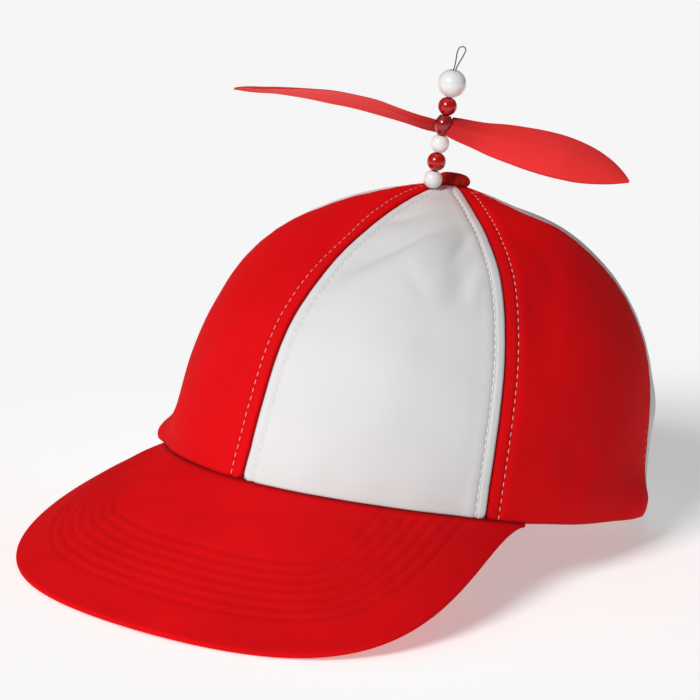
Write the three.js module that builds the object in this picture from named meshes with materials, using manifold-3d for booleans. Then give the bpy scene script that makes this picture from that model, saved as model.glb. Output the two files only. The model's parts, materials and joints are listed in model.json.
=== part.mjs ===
// Propeller cap: six sewn cloth gores, a stiffened peak, a covered button, and a two-blade
// propeller that spins on a wire hairpin between five beads.
// Millimetres. The wearer looks along -Y and the wearer's left is +X. The cap rests on the
// plane z = 0 on the back of its rim and the front edge of its peak.

import * as THREE from 'three';
import { mergeVertices } from 'three/addons/utils/BufferGeometryUtils.js';
import Module from 'manifold-3d';

const wasm = await Module();
wasm.setup();

const degree = Math.PI / 180;

// Fits
const clearance = 0.3;

// Crown
const rimLength = 200;
const rimWidth = 160;
const crownHeight = 109;
const clothWall = 1.2;
const pillowHeight = 1.6;
const pillowMean = 0.6;
const seamBow = 1.2 * degree;
const seamStiffness = 0.45;
const goreColumns = 10;
const goreRows = 15;
const goreRowGrowth = 1.3;
const hemShare = 0.08;
const crownFadeFrom = 0.8;
const crownFadeTo = 0.97;
const lowestCrownSearch = 30 * degree;

// Peak
const peakDepth = 53.3;
const peakFlare = 1.95;
const peakSlope = 42 * degree;
const peakArch = 0.0015;
const peakSweep = 1.52;
const peakHalfAngle = 70 * degree;
const peakThickness = 2.6;
const peakEndThickness = 1.2;
const peakEndDepth = 0.5;
const peakTuck = 2;
const peakColumns = 30;

// Button
const buttonDiameter = 12;
const buttonHeight = 4;
const shankDiameter = 4;
const rivetDiameter = 8;
const rivetThickness = 0.8;
const buttonFoot = 0.93;
const buttonShoulder = 0.1;
const buttonSquareness = 0.7;
const buttonCrestEase = 1.1;

// Wire
const wireDiameter = 0.44;
const wireAhead = 15.5;
const wireAside = 1.3;
const wireLeanAside = 4.8 * degree;
const wireLeanAhead = 3 * degree;
const tailLength = 7;
const loopHeight = 8.7;
const loopWidth = 3.1;
const loopLean = 9 * degree;
const loopTurn = 35 * degree;

// Beads
const smallBead = 6.8;
const largeBead = 10.2;
const beadHole = 2.6;

// Propeller
const hubHeight = 6.9;
const hubDiameter = 6.6;
const hubEndDiameter = 4.4;
const hubBore = 2.6;
const longReach = 79;
const shortReach = 70;
const bladeChord = 32.4;
const bladeThickness = 0.9;
const bladeCamber = 0.045;
const propellerTurn = 21.5 * degree;

// Swell of the crown over a plain ellipsoid, at each rise above the rim plane.
const crownSections = [
  { rise: 0, front: 1.0, side: 1.0, back: 1.0 },
  { rise: 15, front: 1.0, side: 1.015, back: 1.06 },
  { rise: 30, front: 1.02, side: 1.055, back: 1.09 },
  { rise: 45, front: 1.0, side: 1.065, back: 1.06 },
  { rise: 60, front: 0.98, side: 1.02, back: 1.03 },
  { rise: 75, front: 0.985, side: 0.99, back: 0.98 },
  { rise: 90, front: 1.0, side: 1.0, back: 1.0 },
];

// Seams at sixths of a turn from the front, with the share of the bow that each one takes.
const seams = [
  { azimuth: 0, bow: 0 },
  { azimuth: 60, bow: 1 },
  { azimuth: 120, bow: 3 },
  { azimuth: 180, bow: 0 },
  { azimuth: 240, bow: 0 },
  { azimuth: 300, bow: -1 },
  { azimuth: 360, bow: 0 },
];

const gores = [
  { name: 'crown_front_left', colour: 'white' },
  { name: 'crown_side_left', colour: 'red' },
  { name: 'crown_back_left', colour: 'white' },
  { name: 'crown_back_right', colour: 'red' },
  { name: 'crown_side_right', colour: 'white' },
  { name: 'crown_front_right', colour: 'red' },
];

// Folds and dents of the worn cloth. Azimuth and turn are in degrees, up is a share of the
// way from rim to apex, wide, tall and lift are shares of the crown's height, and a negative
// lift is a hollow.
const folds = [
  { azimuth: 18, up: 0.6, wide: 0.07, tall: 0.3, turn: 38, lift: -0.026 },
  { azimuth: 35, up: 0.63, wide: 0.09, tall: 0.2, turn: 25, lift: 0.012 },
  { azimuth: 48, up: 0.52, wide: 0.07, tall: 0.13, turn: 15, lift: -0.016 },
  { azimuth: 41, up: 0.36, wide: 0.1, tall: 0.12, turn: 0, lift: -0.007 },
  { azimuth: 73, up: 0.42, wide: 0.08, tall: 0.3, turn: 0, lift: -0.009 },
  { azimuth: 93, up: 0.36, wide: 0.14, tall: 0.3, turn: 0, lift: 0.004 },
  { azimuth: 83, up: 0.13, wide: 0.09, tall: 0.12, turn: 10, lift: -0.012 },
  { azimuth: 115, up: 0.03, wide: 0.18, tall: 0.13, turn: 0, lift: 0.042 },
  { azimuth: 117, up: 0.34, wide: 0.2, tall: 0.42, turn: 0, lift: 0.017 },
  { azimuth: 114, up: 0.68, wide: 0.2, tall: 0.2, turn: 0, lift: 0.013 },
  { azimuth: 131, up: 0.22, wide: 0.13, tall: 0.12, turn: 0, lift: 0.011 },
  { azimuth: 156, up: 0.45, wide: 0.12, tall: 0.25, turn: -15, lift: -0.014 },
  { azimuth: 207, up: 0.5, wide: 0.1, tall: 0.25, turn: 12, lift: -0.016 },
  { azimuth: 222, up: 0.22, wide: 0.12, tall: 0.14, turn: 0, lift: 0.012 },
  { azimuth: 258, up: 0.25, wide: 0.12, tall: 0.16, turn: 0, lift: 0.012 },
  { azimuth: 276, up: 0.45, wide: 0.1, tall: 0.28, turn: 8, lift: -0.018 },
  { azimuth: 301, up: 0.015, wide: 0.22, tall: 0.085, turn: 0, lift: 0.062 },
  { azimuth: 306, up: 0.3, wide: 0.18, tall: 0.16, turn: 0, lift: -0.014 },
  { azimuth: 350, up: 0.6, wide: 0.07, tall: 0.2, turn: -8, lift: -0.02 },
];

// Peak rows from its seam to its outer edge: the share of the depth, and how much of the
// thickness the rounded edge has lost on each face.
const peakRows = [
  { out: 0, lost: 0 },
  { out: 0.1, lost: 0 },
  { out: 0.22, lost: 0 },
  { out: 0.36, lost: 0 },
  { out: 0.5, lost: 0 },
  { out: 0.64, lost: 0 },
  { out: 0.78, lost: 0 },
  { out: 0.9, lost: 0 },
  { out: 0.975, lost: 0.06 },
  { out: 1, lost: 0.34 },
];

// Blade sections: place and droop are shares of the reach, chord is a share of the widest
// chord, pitch is in degrees. The long blade has warped to a pitch and a droop of its own.
const bladeSections = [
  { place: 0.03, chord: 0.27, pitch: 45, droop: 0.001, longPitch: 38, longDroop: 0.012 },
  { place: 0.11, chord: 0.39, pitch: 35, droop: 0.007, longPitch: 30, longDroop: 0.01 },
  { place: 0.2, chord: 0.5, pitch: 30.5, droop: 0.012, longPitch: 25.5, longDroop: 0.001 },
  { place: 0.3, chord: 0.68, pitch: 26.5, droop: 0.013, longPitch: 22.5, longDroop: -0.008 },
  { place: 0.41, chord: 0.83, pitch: 23.5, droop: 0.015, longPitch: 19, longDroop: -0.01 },
  { place: 0.5, chord: 0.92, pitch: 22.3, droop: 0.018, longPitch: 17, longDroop: -0.008 },
  { place: 0.6, chord: 0.98, pitch: 20.8, droop: 0.023, longPitch: 14.5, longDroop: 0.002 },
  { place: 0.69, chord: 1, pitch: 18.5, droop: 0.03, longPitch: 12, longDroop: 0.012 },
  { place: 0.78, chord: 0.93, pitch: 16.7, droop: 0.04, longPitch: 10.2, longDroop: 0.024 },
  { place: 0.86, chord: 0.75, pitch: 15.2, droop: 0.049, longPitch: 9.2, longDroop: 0.036 },
  { place: 0.93, chord: 0.47, pitch: 14.5, droop: 0.058, longPitch: 12, longDroop: 0.046 },
  { place: 0.975, chord: 0.22, pitch: 14, droop: 0.064, longPitch: 14, longDroop: 0.053 },
  { place: 1, chord: 0.05, pitch: 14, droop: 0.068, longPitch: 14, longDroop: 0.057 },
];

const colours = {
  red: new THREE.MeshStandardMaterial({ color: 0xd3121a, roughness: 0.85, metalness: 0 }),
  white: new THREE.MeshStandardMaterial({ color: 0xe6e6e6, roughness: 0.85, metalness: 0 }),
  button: new THREE.MeshStandardMaterial({ color: 0x8e1216, roughness: 0.8, metalness: 0 }),
  blade: new THREE.MeshStandardMaterial({ color: 0xd0201f, roughness: 0.35, metalness: 0 }),
  redBead: new THREE.MeshStandardMaterial({ color: 0xae0e12, roughness: 0.15, metalness: 0 }),
  whiteBead: new THREE.MeshStandardMaterial({ color: 0xf2f2f0, roughness: 0.2, metalness: 0 }),
  steel: new THREE.MeshStandardMaterial({ color: 0x55575a, roughness: 0.35, metalness: 1 }),
};

// A smooth value through rows of a table, by its named column.
function tableValue(table, key, column, at) {
  const last = table.length - 1;
  let i = 0;
  while (i < last - 1 && at > table[i + 1][key]) i += 1;
  const slope = (j) => {
    const a = Math.max(j - 1, 0);
    const b = Math.min(j + 1, last);
    return (table[b][column] - table[a][column]) / (table[b][key] - table[a][key]);
  };
  const span = table[i + 1][key] - table[i][key];
  const t = (at - table[i][key]) / span;
  const a = table[i][column];
  const b = table[i + 1][column];
  const m = slope(i) * span;
  const n = slope(i + 1) * span;
  return a + m * t + (3 * (b - a) - 2 * m - n) * t * t + (2 * (a - b) + m + n) * t * t * t;
}

function smoothStep(low, high, value) {
  return THREE.MathUtils.smoothstep(value, low, high);
}

// The crown's sewn surface before its gores are shaped. Azimuth 0 is the front.
function crownPoint(azimuth, rise) {
  const c = Math.cos(azimuth);
  const s = Math.sin(azimuth);
  const at = rise / degree;
  const ends = tableValue(crownSections, 'rise', c > 0 ? 'front' : 'back', at);
  const swell = ends * c * c + tableValue(crownSections, 'rise', 'side', at) * s * s;
  const plan = swell * Math.cos(rise);
  return new THREE.Vector3(
    rimWidth / 2 * s * plan,
    -rimLength / 2 * c * plan,
    crownHeight * swell * Math.sin(rise),
  );
}

function crownNormal(azimuth, rise) {
  const step = 0.001;
  const p = crownPoint(azimuth, rise);
  const along = crownPoint(azimuth + step, rise).sub(p);
  const up = crownPoint(azimuth, rise + step).sub(p);
  return along.cross(up).normalize();
}

// Azimuth and rise of the crown's surface over a point of the plan.
function crownAngles(x, y) {
  const azimuth = Math.atan2(x / rimWidth, -y / rimLength);
  let low = lowestCrownSearch;
  let high = 90 * degree;
  for (let i = 0; i < 40; i += 1) {
    const middle = (low + high) / 2;
    const p = crownPoint(azimuth, middle);
    if (Math.hypot(p.x, p.y) > Math.hypot(x, y)) low = middle;
    else high = middle;
  }
  return { azimuth, rise: low };
}

// Thickness of the peak at a share of its half angle.
function peakThicknessAt(share) {
  return peakEndThickness + (peakThickness - peakEndThickness) * (1 - Math.abs(share) ** 4);
}

// Height of the gores' lower edge: over the peak they sit on it, elsewhere they end at the rim.
function rimSeat(azimuth) {
  const fromFront = Math.abs(Math.atan2(Math.sin(azimuth), Math.cos(azimuth)));
  const column = 60 * degree / goreColumns;
  const share = Math.min(fromFront / peakHalfAngle, 1);
  const fade = 1 - smoothStep(peakHalfAngle + column, peakHalfAngle + 3 * column, fromFront);
  return (peakThicknessAt(share) + clearance) * fade;
}

// How far the folds push the cloth out at a place, for a given radius of the plan there.
function foldLift(azimuth, up, radius) {
  let lift = 0;
  for (const fold of folds) {
    const away = azimuth - fold.azimuth * degree;
    const dx = Math.atan2(Math.sin(away), Math.cos(away)) * radius;
    const dy = (up - fold.up) * crownHeight * Math.PI / 2;
    const c = Math.cos(fold.turn * degree);
    const s = Math.sin(fold.turn * degree);
    const x = (dx * c - dy * s) / (fold.wide * crownHeight);
    const y = (dx * s + dy * c) / (fold.tall * crownHeight);
    lift += fold.lift * crownHeight * Math.exp(-2 * (x * x + y * y));
  }
  return lift;
}

// A closed body between two matching grids of points.
function bodyBetween(outer, inner) {
  const rows = outer.length;
  const columns = outer[0].length;
  const positions = [];
  for (const grid of [outer, inner]) {
    for (const row of grid) {
      for (const p of row) positions.push(p.x, p.y, p.z);
    }
  }
  const faces = [];
  const quad = (a, b, c, d) => faces.push(a, b, c, a, c, d);
  const o = (i, j) => j * columns + i;
  const n = (i, j) => rows * columns + j * columns + i;
  for (let j = 0; j < rows - 1; j += 1) {
    for (let i = 0; i < columns - 1; i += 1) {
      quad(o(i, j), o(i + 1, j), o(i + 1, j + 1), o(i, j + 1));
      quad(n(i, j), n(i, j + 1), n(i + 1, j + 1), n(i + 1, j));
    }
  }
  for (let i = 0; i < columns - 1; i += 1) {
    quad(o(i + 1, 0), o(i, 0), n(i, 0), n(i + 1, 0));
    quad(o(i, rows - 1), o(i + 1, rows - 1), n(i + 1, rows - 1), n(i, rows - 1));
  }
  for (let j = 0; j < rows - 1; j += 1) {
    quad(o(0, j), o(0, j + 1), n(0, j + 1), n(0, j));
    quad(o(columns - 1, j + 1), o(columns - 1, j), n(columns - 1, j), n(columns - 1, j + 1));
  }
  const geometry = new THREE.BufferGeometry();
  geometry.setAttribute('position', new THREE.Float32BufferAttribute(positions, 3));
  geometry.setIndex(faces);
  geometry.computeVertexNormals();
  return geometry;
}

// A round rod through a list of points, closed at both ends.
function rodThrough(points, radius, sides) {
  const positions = [];
  const faces = [];
  const last = points.length - 1;
  let side = null;
  points.forEach((p, j) => {
    const tangent = points[Math.min(j + 1, last)].clone().sub(points[Math.max(j - 1, 0)]).normalize();
    if (side === null) side = new THREE.Vector3(0, 1, 0);
    side.addScaledVector(tangent, -side.dot(tangent)).normalize();
    const other = tangent.clone().cross(side);
    for (let i = 0; i < sides; i += 1) {
      const turn = 2 * Math.PI * i / sides;
      const q = p.clone();
      q.addScaledVector(side, radius * Math.cos(turn));
      q.addScaledVector(other, radius * Math.sin(turn));
      positions.push(q.x, q.y, q.z);
    }
  });
  for (let j = 0; j < last; j += 1) {
    for (let i = 0; i < sides; i += 1) {
      const a = j * sides + i;
      const b = j * sides + (i + 1) % sides;
      faces.push(a, b, b + sides, a, b + sides, a + sides);
    }
  }
  for (let i = 1; i < sides - 1; i += 1) {
    faces.push(0, i + 1, i);
    faces.push(last * sides, last * sides + i, last * sides + i + 1);
  }
  const geometry = new THREE.BufferGeometry();
  geometry.setAttribute('position', new THREE.Float32BufferAttribute(positions, 3));
  geometry.setIndex(faces);
  geometry.computeVertexNormals();
  return geometry;
}

// A turned body about Z, from a profile of [radius, height] that runs up its outside.
function turned(profile, sides) {
  const points = profile.map(([r, z]) => new THREE.Vector2(r, z));
  return new THREE.LatheGeometry(points, sides).rotateX(Math.PI / 2);
}

function toSolid(geometry) {
  const bare = geometry.clone();
  bare.deleteAttribute('normal');
  bare.deleteAttribute('uv');
  const merged = mergeVertices(bare, 1e-4);
  return new wasm.Manifold(new wasm.Mesh({
    numProp: 3,
    vertProperties: new Float32Array(merged.attributes.position.array),
    triVerts: new Uint32Array(merged.index.array),
  }));
}

function toGeometry(solid) {
  const mesh = solid.getMesh();
  const positions = [];
  for (let i = 0; i < mesh.numVert; i += 1) {
    positions.push(...mesh.vertProperties.slice(i * mesh.numProp, i * mesh.numProp + 3));
  }
  const geometry = new THREE.BufferGeometry();
  geometry.setAttribute('position', new THREE.Float32BufferAttribute(positions, 3));
  geometry.setIndex(Array.from(mesh.triVerts));
  geometry.computeVertexNormals();
  return geometry;
}

// One gore: a cloth wall between two seams, from the rim to the hole under the button.
function goreGeometry(from, to) {
  const tipRadius = shankDiameter / 2 + 2 * clearance;
  const tipShare = 2 * tipRadius / Math.min(rimLength, rimWidth);
  const outer = [];
  const inner = [];
  for (let j = 0; j <= goreRows; j += 1) {
    const up = (j / goreRows) ** goreRowGrowth;
    const outerRow = [];
    const innerRow = [];
    const bow = seamBow * Math.sin(Math.PI * up);
    const start = from.azimuth * degree + from.bow * bow;
    const end = to.azimuth * degree + to.bow * bow;
    const fade = 1 - smoothStep(crownFadeFrom, crownFadeTo, up);
    const hem = smoothStep(0, hemShare, up);
    for (let i = 0; i <= goreColumns; i += 1) {
      const across = i / goreColumns;
      const plain = start + (end - start) * across;
      const low = Math.asin(rimSeat(plain) / crownHeight);
      const rise = low + (Math.acos(tipShare) - low) * up;
      const edge = crownPoint(plain, rise);
      const inset = clearance / 2 / Math.hypot(edge.x, edge.y);
      const azimuth = plain + inset * (1 - 2 * across);
      const p = crownPoint(azimuth, rise);
      const normal = crownNormal(azimuth, rise);
      const belly = Math.sin(Math.PI * across);
      const pillow = pillowHeight * hem * (belly - pillowMean);
      const slack = 1 - seamStiffness * (1 - belly) ** 4;
      const fold = foldLift(azimuth, up, Math.hypot(p.x, p.y)) * slack;
      p.addScaledVector(normal, (pillow + fold) * fade);
      const q = p.clone().addScaledVector(normal, -clothWall);
      if (j === 0) q.z = p.z;
      outerRow.push(p);
      innerRow.push(q);
    }
    outer.push(outerRow);
    inner.push(innerRow);
  }
  return bodyBetween(outer, inner);
}

// Depth of the peak in front of its seam, at a share of its half angle.
function peakDepthAt(share) {
  return peakEndDepth + (peakDepth - peakEndDepth) * Math.cos(Math.PI / 2 * Math.abs(share)) ** peakSweep;
}

function peakPoint(share, out) {
  const azimuth = share * peakHalfAngle;
  const depth = peakDepthAt(share);
  const x = rimWidth / 2 * Math.sin(azimuth) + depth * peakFlare * Math.sin(azimuth) * out;
  const y = -rimLength / 2 * Math.cos(azimuth) - depth * out;
  const arch = peakArch * x * x * out * Math.sqrt(depth / peakDepth);
  const drop = depth * out * Math.tan(peakSlope) + arch;
  return new THREE.Vector3(x, y, peakThicknessAt(share) - drop);
}

function peakNormal(share, out) {
  const step = 0.002;
  const centre = THREE.MathUtils.clamp(share, step - 1, 1 - step);
  const from = Math.max(out - step, 0);
  const along = peakPoint(centre + step, out).sub(peakPoint(centre - step, out));
  const outward = peakPoint(centre, from + step).sub(peakPoint(centre, from));
  return outward.cross(along).normalize();
}

// The peak: a curved board whose back strip lies under the gores' front edges.
function peakGeometry() {
  const top = [];
  const bottom = [];
  const rows = [{ out: 0, lost: 0, tucked: true }, ...peakRows];
  for (const row of rows) {
    const topRow = [];
    const bottomRow = [];
    for (let i = 0; i <= peakColumns; i += 1) {
      const share = 2 * i / peakColumns - 1;
      const thickness = peakThicknessAt(share);
      const p = peakPoint(share, row.out);
      const normal = peakNormal(share, row.out);
      if (row.tucked) {
        const azimuth = share * peakHalfAngle;
        const inward = new THREE.Vector3(-Math.sin(azimuth) / rimWidth, Math.cos(azimuth) / rimLength, 0);
        p.addScaledVector(inward.normalize(), peakTuck);
        normal.set(0, 0, 1);
      } else if (row.out === 0) {
        normal.add(new THREE.Vector3(0, 0, 1)).normalize();
      }
      const q = p.clone().addScaledVector(normal, -thickness * (1 - row.lost));
      p.addScaledVector(normal, -thickness * row.lost);
      topRow.push(p);
      bottomRow.push(q);
    }
    top.push(topRow);
    bottom.push(bottomRow);
  }
  return bodyBetween(bottom, top);
}

// Heights of the crown's outer and inner faces at a distance from its apex, all round.
function crownTopAt(radius) {
  const outside = [];
  const inside = [];
  for (let turn = 0; turn < 360; turn += 15) {
    const x = radius * Math.sin(turn * degree);
    const y = -radius * Math.cos(turn * degree);
    const at = crownAngles(x, y);
    const p = crownPoint(at.azimuth, at.rise);
    outside.push(p.z);
    inside.push(p.addScaledVector(crownNormal(at.azimuth, at.rise), -clothWall).z);
  }
  return { highest: Math.max(...outside), underside: Math.min(...inside) };
}

// The button follows the crown's top, and its shank ends in a rivet under the cloth.
function buttonGeometry() {
  const radius = buttonDiameter / 2;
  const shank = shankDiameter / 2;
  const rivet = rivetDiameter / 2;
  const halfway = (shank + radius) / 2;
  const seat = (r) => crownTopAt(r).highest + clearance;
  const rivetTop = crownTopAt(rivet).underside - clearance;
  const crest = crownHeight + buttonHeight;
  const shoulder = seat(radius) + buttonShoulder * buttonHeight;
  const profile = [
    [0, rivetTop - rivetThickness],
    [rivet, rivetTop - rivetThickness],
    [rivet, rivetTop],
    [shank, rivetTop],
    [shank, seat(shank)],
    [halfway, seat(halfway)],
    [buttonFoot * radius, seat(radius)],
  ];
  const steps = 6;
  for (let i = 0; i < steps; i += 1) {
    const turn = Math.PI / 2 * i / steps;
    const out = radius * Math.cos(turn) ** buttonSquareness;
    profile.push([out, shoulder + (crest - shoulder) * Math.sin(turn) ** buttonCrestEase]);
  }
  profile.push([0, crest]);
  return turned(profile, 24);
}

// A round bead with a straight hole, closed on itself.
function beadGeometry(diameter) {
  const radius = diameter / 2;
  const hole = beadHole / 2;
  const edge = Math.asin(hole / radius);
  const steps = 9;
  const profile = [];
  for (let i = 0; i <= steps; i += 1) {
    const turn = edge + (Math.PI - 2 * edge) * i / steps;
    profile.push([radius * Math.sin(turn), -radius * Math.cos(turn)]);
  }
  profile.push(profile[0]);
  return turned(profile, 16);
}

function beadHalfLength(diameter) {
  return Math.sqrt((diameter / 2) ** 2 - (beadHole / 2) ** 2);
}

// One blade along +X: a thin cambered section that twists and droops towards its tip.
function bladeGeometry(reach, pitchColumn, droopColumn) {
  const stations = [-0.5, -0.3, 0, 0.3, 0.5];
  const above = [];
  const below = [];
  for (const section of bladeSections) {
    const chord = section.chord * bladeChord;
    const pitch = section[pitchColumn] * degree;
    const droop = section[droopColumn] * reach;
    const c = Math.cos(pitch);
    const s = Math.sin(pitch);
    const upperRow = [];
    const lowerRow = [];
    for (const station of stations) {
      const crown = bladeCamber * chord * (1 - 4 * station * station);
      const half = bladeThickness / 2 * (1 - 2 * station * station);
      const place = (height) => new THREE.Vector3(
        section.place * reach,
        station * chord * c - height * s,
        station * chord * s + height * c - droop,
      );
      upperRow.push(place(crown + half));
      lowerRow.push(place(crown - half));
    }
    above.push(upperRow);
    below.push(lowerRow);
  }
  return bodyBetween(below, above);
}

// Hub and both blades are one moulding.
function propellerGeometry() {
  const bore = hubBore / 2;
  const half = hubHeight / 2;
  const end = hubEndDiameter / 2;
  const waist = hubDiameter / 2;
  const profile = [
    [bore, -half],
    [end, -half],
    [(end + waist) / 2, -0.62 * half],
    [waist, -0.15 * half],
    [waist, 0.2 * half],
    [(end + waist) / 2, 0.66 * half],
    [end, half],
    [bore, half],
    [bore, -half],
  ];
  const hub = toSolid(turned(profile, 16));
  const longBlade = bladeGeometry(longReach, 'longPitch', 'longDroop');
  const long = toSolid(longBlade.rotateZ(Math.PI));
  const short = toSolid(bladeGeometry(shortReach, 'pitch', 'droop'));
  return toGeometry(hub.add(long).add(short));
}

// One half of the hairpin, from its tail under the cloth to the side of its loop.
function wireHalf(sign, loopStart, tailPoint) {
  const radius = wireDiameter / 2;
  const leg = radius + clearance / 2;
  const bend = loopWidth / 2 - radius;
  const under = -clothWall - clearance / 2;
  const centre = loopStart + loopHeight - bend - radius;
  const points = [1, 0.7, 0.4].map((share) => tailPoint(sign * share * tailLength));
  points.push(new THREE.Vector3(sign * (leg + radius), 0, under - 1.6 * radius));
  points.push(new THREE.Vector3(sign * leg, 0, under));
  points.push(new THREE.Vector3(sign * leg, 0, loopStart));
  const steps = 8;
  for (let i = 0; i < steps; i += 1) {
    const turn = Math.PI / 2 * i / steps;
    points.push(new THREE.Vector3(sign * bend * Math.cos(turn), 0, centre + bend * Math.sin(turn)));
  }
  if (sign < 0) {
    points.reverse();
    points.unshift(new THREE.Vector3(0, 0, centre + bend));
  }
  return points;
}

// The hairpin in its own frame, with Z along the wire and X across the loop.
function wireGeometry(loopStart, tailPoint) {
  const points = [...wireHalf(1, loopStart, tailPoint), ...wireHalf(-1, loopStart, tailPoint)];
  for (const p of points) p.x += Math.tan(loopLean) * Math.max(p.z - loopStart, 0);
  return rodThrough(points, wireDiameter / 2, 6);
}

function namedMesh(name, geometry, material) {
  const mesh = new THREE.Mesh(geometry, material);
  mesh.name = name;
  return mesh;
}

const cap = new THREE.Group();

// The wire stands on the crown ahead of the button, leaning a little.
const wireAt = crownAngles(wireAside, -wireAhead);
const wireFoot = crownPoint(wireAt.azimuth, wireAt.rise);
const wireAxis = new THREE.Vector3(Math.tan(wireLeanAside), -Math.tan(wireLeanAhead), 1).normalize();
const wireSide = new THREE.Vector3(0, 1, 0).cross(wireAxis).normalize();
const stack = new THREE.Group();
stack.position.copy(wireFoot);
stack.quaternion.setFromRotationMatrix(
  new THREE.Matrix4().makeBasis(wireSide, wireAxis.clone().cross(wireSide), wireAxis),
);
stack.updateMatrixWorld(true);

// Gores, with the wire's hole cut where it passes.
const holeSides = 12;
const holeLength = 8 * clothWall;
const wireEnvelope = wireDiameter + clearance / 2;
const holeRadius = (wireEnvelope + clearance) / Math.cos(Math.PI / holeSides);
const hole = new THREE.CylinderGeometry(holeRadius, holeRadius, holeLength, holeSides);
hole.rotateX(Math.PI / 2);
hole.applyMatrix4(stack.matrixWorld);
const holeSolid = toSolid(hole);
gores.forEach((gore, i) => {
  const besideFrontSeam = i === 0 || i === gores.length - 1;
  let geometry = goreGeometry(seams[i], seams[i + 1]);
  if (besideFrontSeam) geometry = toGeometry(toSolid(geometry).subtract(holeSolid));
  cap.add(namedMesh(gore.name, geometry, colours[gore.colour]));
});

cap.add(namedMesh('peak', peakGeometry(), colours.red));
cap.add(namedMesh('button', buttonGeometry(), colours.button));

// Beads and propeller are stacked up the wire with a clearance between neighbours.
const footNormal = crownNormal(wireAt.azimuth, wireAt.rise);
const items = [
  { name: 'bead_base_white', diameter: smallBead, material: colours.whiteBead },
  { name: 'bead_lower_red', diameter: smallBead, material: colours.redBead },
  { name: 'bead_middle_white', diameter: smallBead, material: colours.whiteBead },
  { name: 'propeller', material: colours.blade },
  { name: 'bead_upper_red', diameter: smallBead, material: colours.redBead },
  { name: 'bead_top_white', diameter: largeBead, material: colours.whiteBead },
];
const firstHeight = (smallBead / 2 + clearance) / footNormal.dot(wireAxis);
let height = firstHeight - beadHalfLength(smallBead);
for (const item of items) {
  const isHub = item.name === 'propeller';
  const half = isHub ? hubHeight / 2 : beadHalfLength(item.diameter);
  const geometry = isHub ? propellerGeometry() : beadGeometry(item.diameter);
  const mesh = namedMesh(item.name, geometry, item.material);
  mesh.position.z = height + half;
  if (isHub) mesh.rotation.z = propellerTurn;
  stack.add(mesh);
  height += 2 * half + clearance;
}

// A point of a tail: under the cloth, at a distance from the wire's axis.
const wireFrame = new THREE.Matrix4().makeRotationZ(loopTurn).premultiply(stack.matrixWorld);
const toWire = wireFrame.clone().invert();
function tailPoint(distance) {
  const p = new THREE.Vector3(distance, 0, 0).applyMatrix4(wireFrame);
  const at = crownAngles(p.x, p.y);
  const depth = clothWall + 1.5 * clearance + wireDiameter / 2;
  const surface = crownPoint(at.azimuth, at.rise);
  surface.addScaledVector(crownNormal(at.azimuth, at.rise), -depth);
  return surface.applyMatrix4(toWire);
}
const wire = namedMesh('wire', wireGeometry(height, tailPoint), colours.steel);
wire.rotation.z = loopTurn;
stack.add(wire);
cap.add(stack);

// The cap tips back until the peak's edge and the back of the rim are level.
function lowestOf(names, tilt) {
  let low = Infinity;
  for (const mesh of cap.children) {
    if (!names.includes(mesh.name)) continue;
    const p = mesh.geometry.attributes.position;
    for (let i = 0; i < p.count; i += 1) {
      low = Math.min(low, p.getZ(i) * Math.cos(tilt) - p.getY(i) * Math.sin(tilt));
    }
  }
  return low;
}
let flat = 0;
let steep = 45 * degree;
for (let i = 0; i < 40; i += 1) {
  const middle = (flat + steep) / 2;
  if (lowestOf(['peak'], middle) < lowestOf(['crown_back_left', 'crown_back_right'], middle)) flat = middle;
  else steep = middle;
}
cap.rotation.x = -flat;

const model = new THREE.Group();
model.add(cap);
model.updateMatrixWorld(true);
const bounds = new THREE.Box3().setFromObject(model, true);
const middle = bounds.getCenter(new THREE.Vector3());
cap.position.set(-middle.x, -middle.y, -bounds.min.z);
model.updateMatrixWorld(true);

export default model;
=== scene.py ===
import json
import math

import bpy
import numpy as np
from mathutils import Matrix, Vector


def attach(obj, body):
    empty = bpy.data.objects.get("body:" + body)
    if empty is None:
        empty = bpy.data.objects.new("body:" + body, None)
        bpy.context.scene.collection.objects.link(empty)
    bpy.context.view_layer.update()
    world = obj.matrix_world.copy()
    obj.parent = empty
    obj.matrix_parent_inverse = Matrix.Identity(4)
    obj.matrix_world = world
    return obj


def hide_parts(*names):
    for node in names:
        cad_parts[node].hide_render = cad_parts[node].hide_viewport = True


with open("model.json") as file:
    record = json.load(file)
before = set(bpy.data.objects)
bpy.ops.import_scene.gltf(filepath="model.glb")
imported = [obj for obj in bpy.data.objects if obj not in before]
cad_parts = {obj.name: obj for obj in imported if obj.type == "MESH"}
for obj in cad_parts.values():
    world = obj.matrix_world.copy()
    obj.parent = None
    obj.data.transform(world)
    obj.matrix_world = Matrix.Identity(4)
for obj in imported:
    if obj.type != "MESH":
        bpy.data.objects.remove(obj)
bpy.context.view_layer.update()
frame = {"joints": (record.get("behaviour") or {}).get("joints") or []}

# A cloth cap of six gores with a stitched peak, a covered button, and a propeller that
# spins on a wire between five beads. Sizes are in millimetres in the cap's own axes, where
# the rim lies flat, the peak points along -Y and the wearer's left is +X.

DEGREE = math.pi / 180
HALF_TURN = math.pi

# Crown
RIM_LENGTH = 200.0
RIM_WIDTH = 160.0
CROWN_HEIGHT = 109.0
CLOTH_WALL = 1.2
PILLOW_HEIGHT = 1.6
PILLOW_MEAN = 0.6
SEAM_BOW = 1.2
SEAM_STIFFNESS = 0.45
GORE_COLUMN = 6.0
CLEARANCE = 0.3
GORE_GAP = 0.04
TIP_RADIUS = 2.6

# Sewing
STITCH_OFFSET = {"white": 4.4, "red": 5.0}
STITCH_PITCH = 2.9
STITCH_LENGTH = 1.9
STITCH_WIDTH = {"white": 0.46, "red": 0.3}
STITCH_LIFT = 0.12
NARROWEST_SEWN = 8.5
SEAM_ROLL = 1.1
CORNER_RADIUS = 3.2
PEAK_PRESS = 0.75

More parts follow.
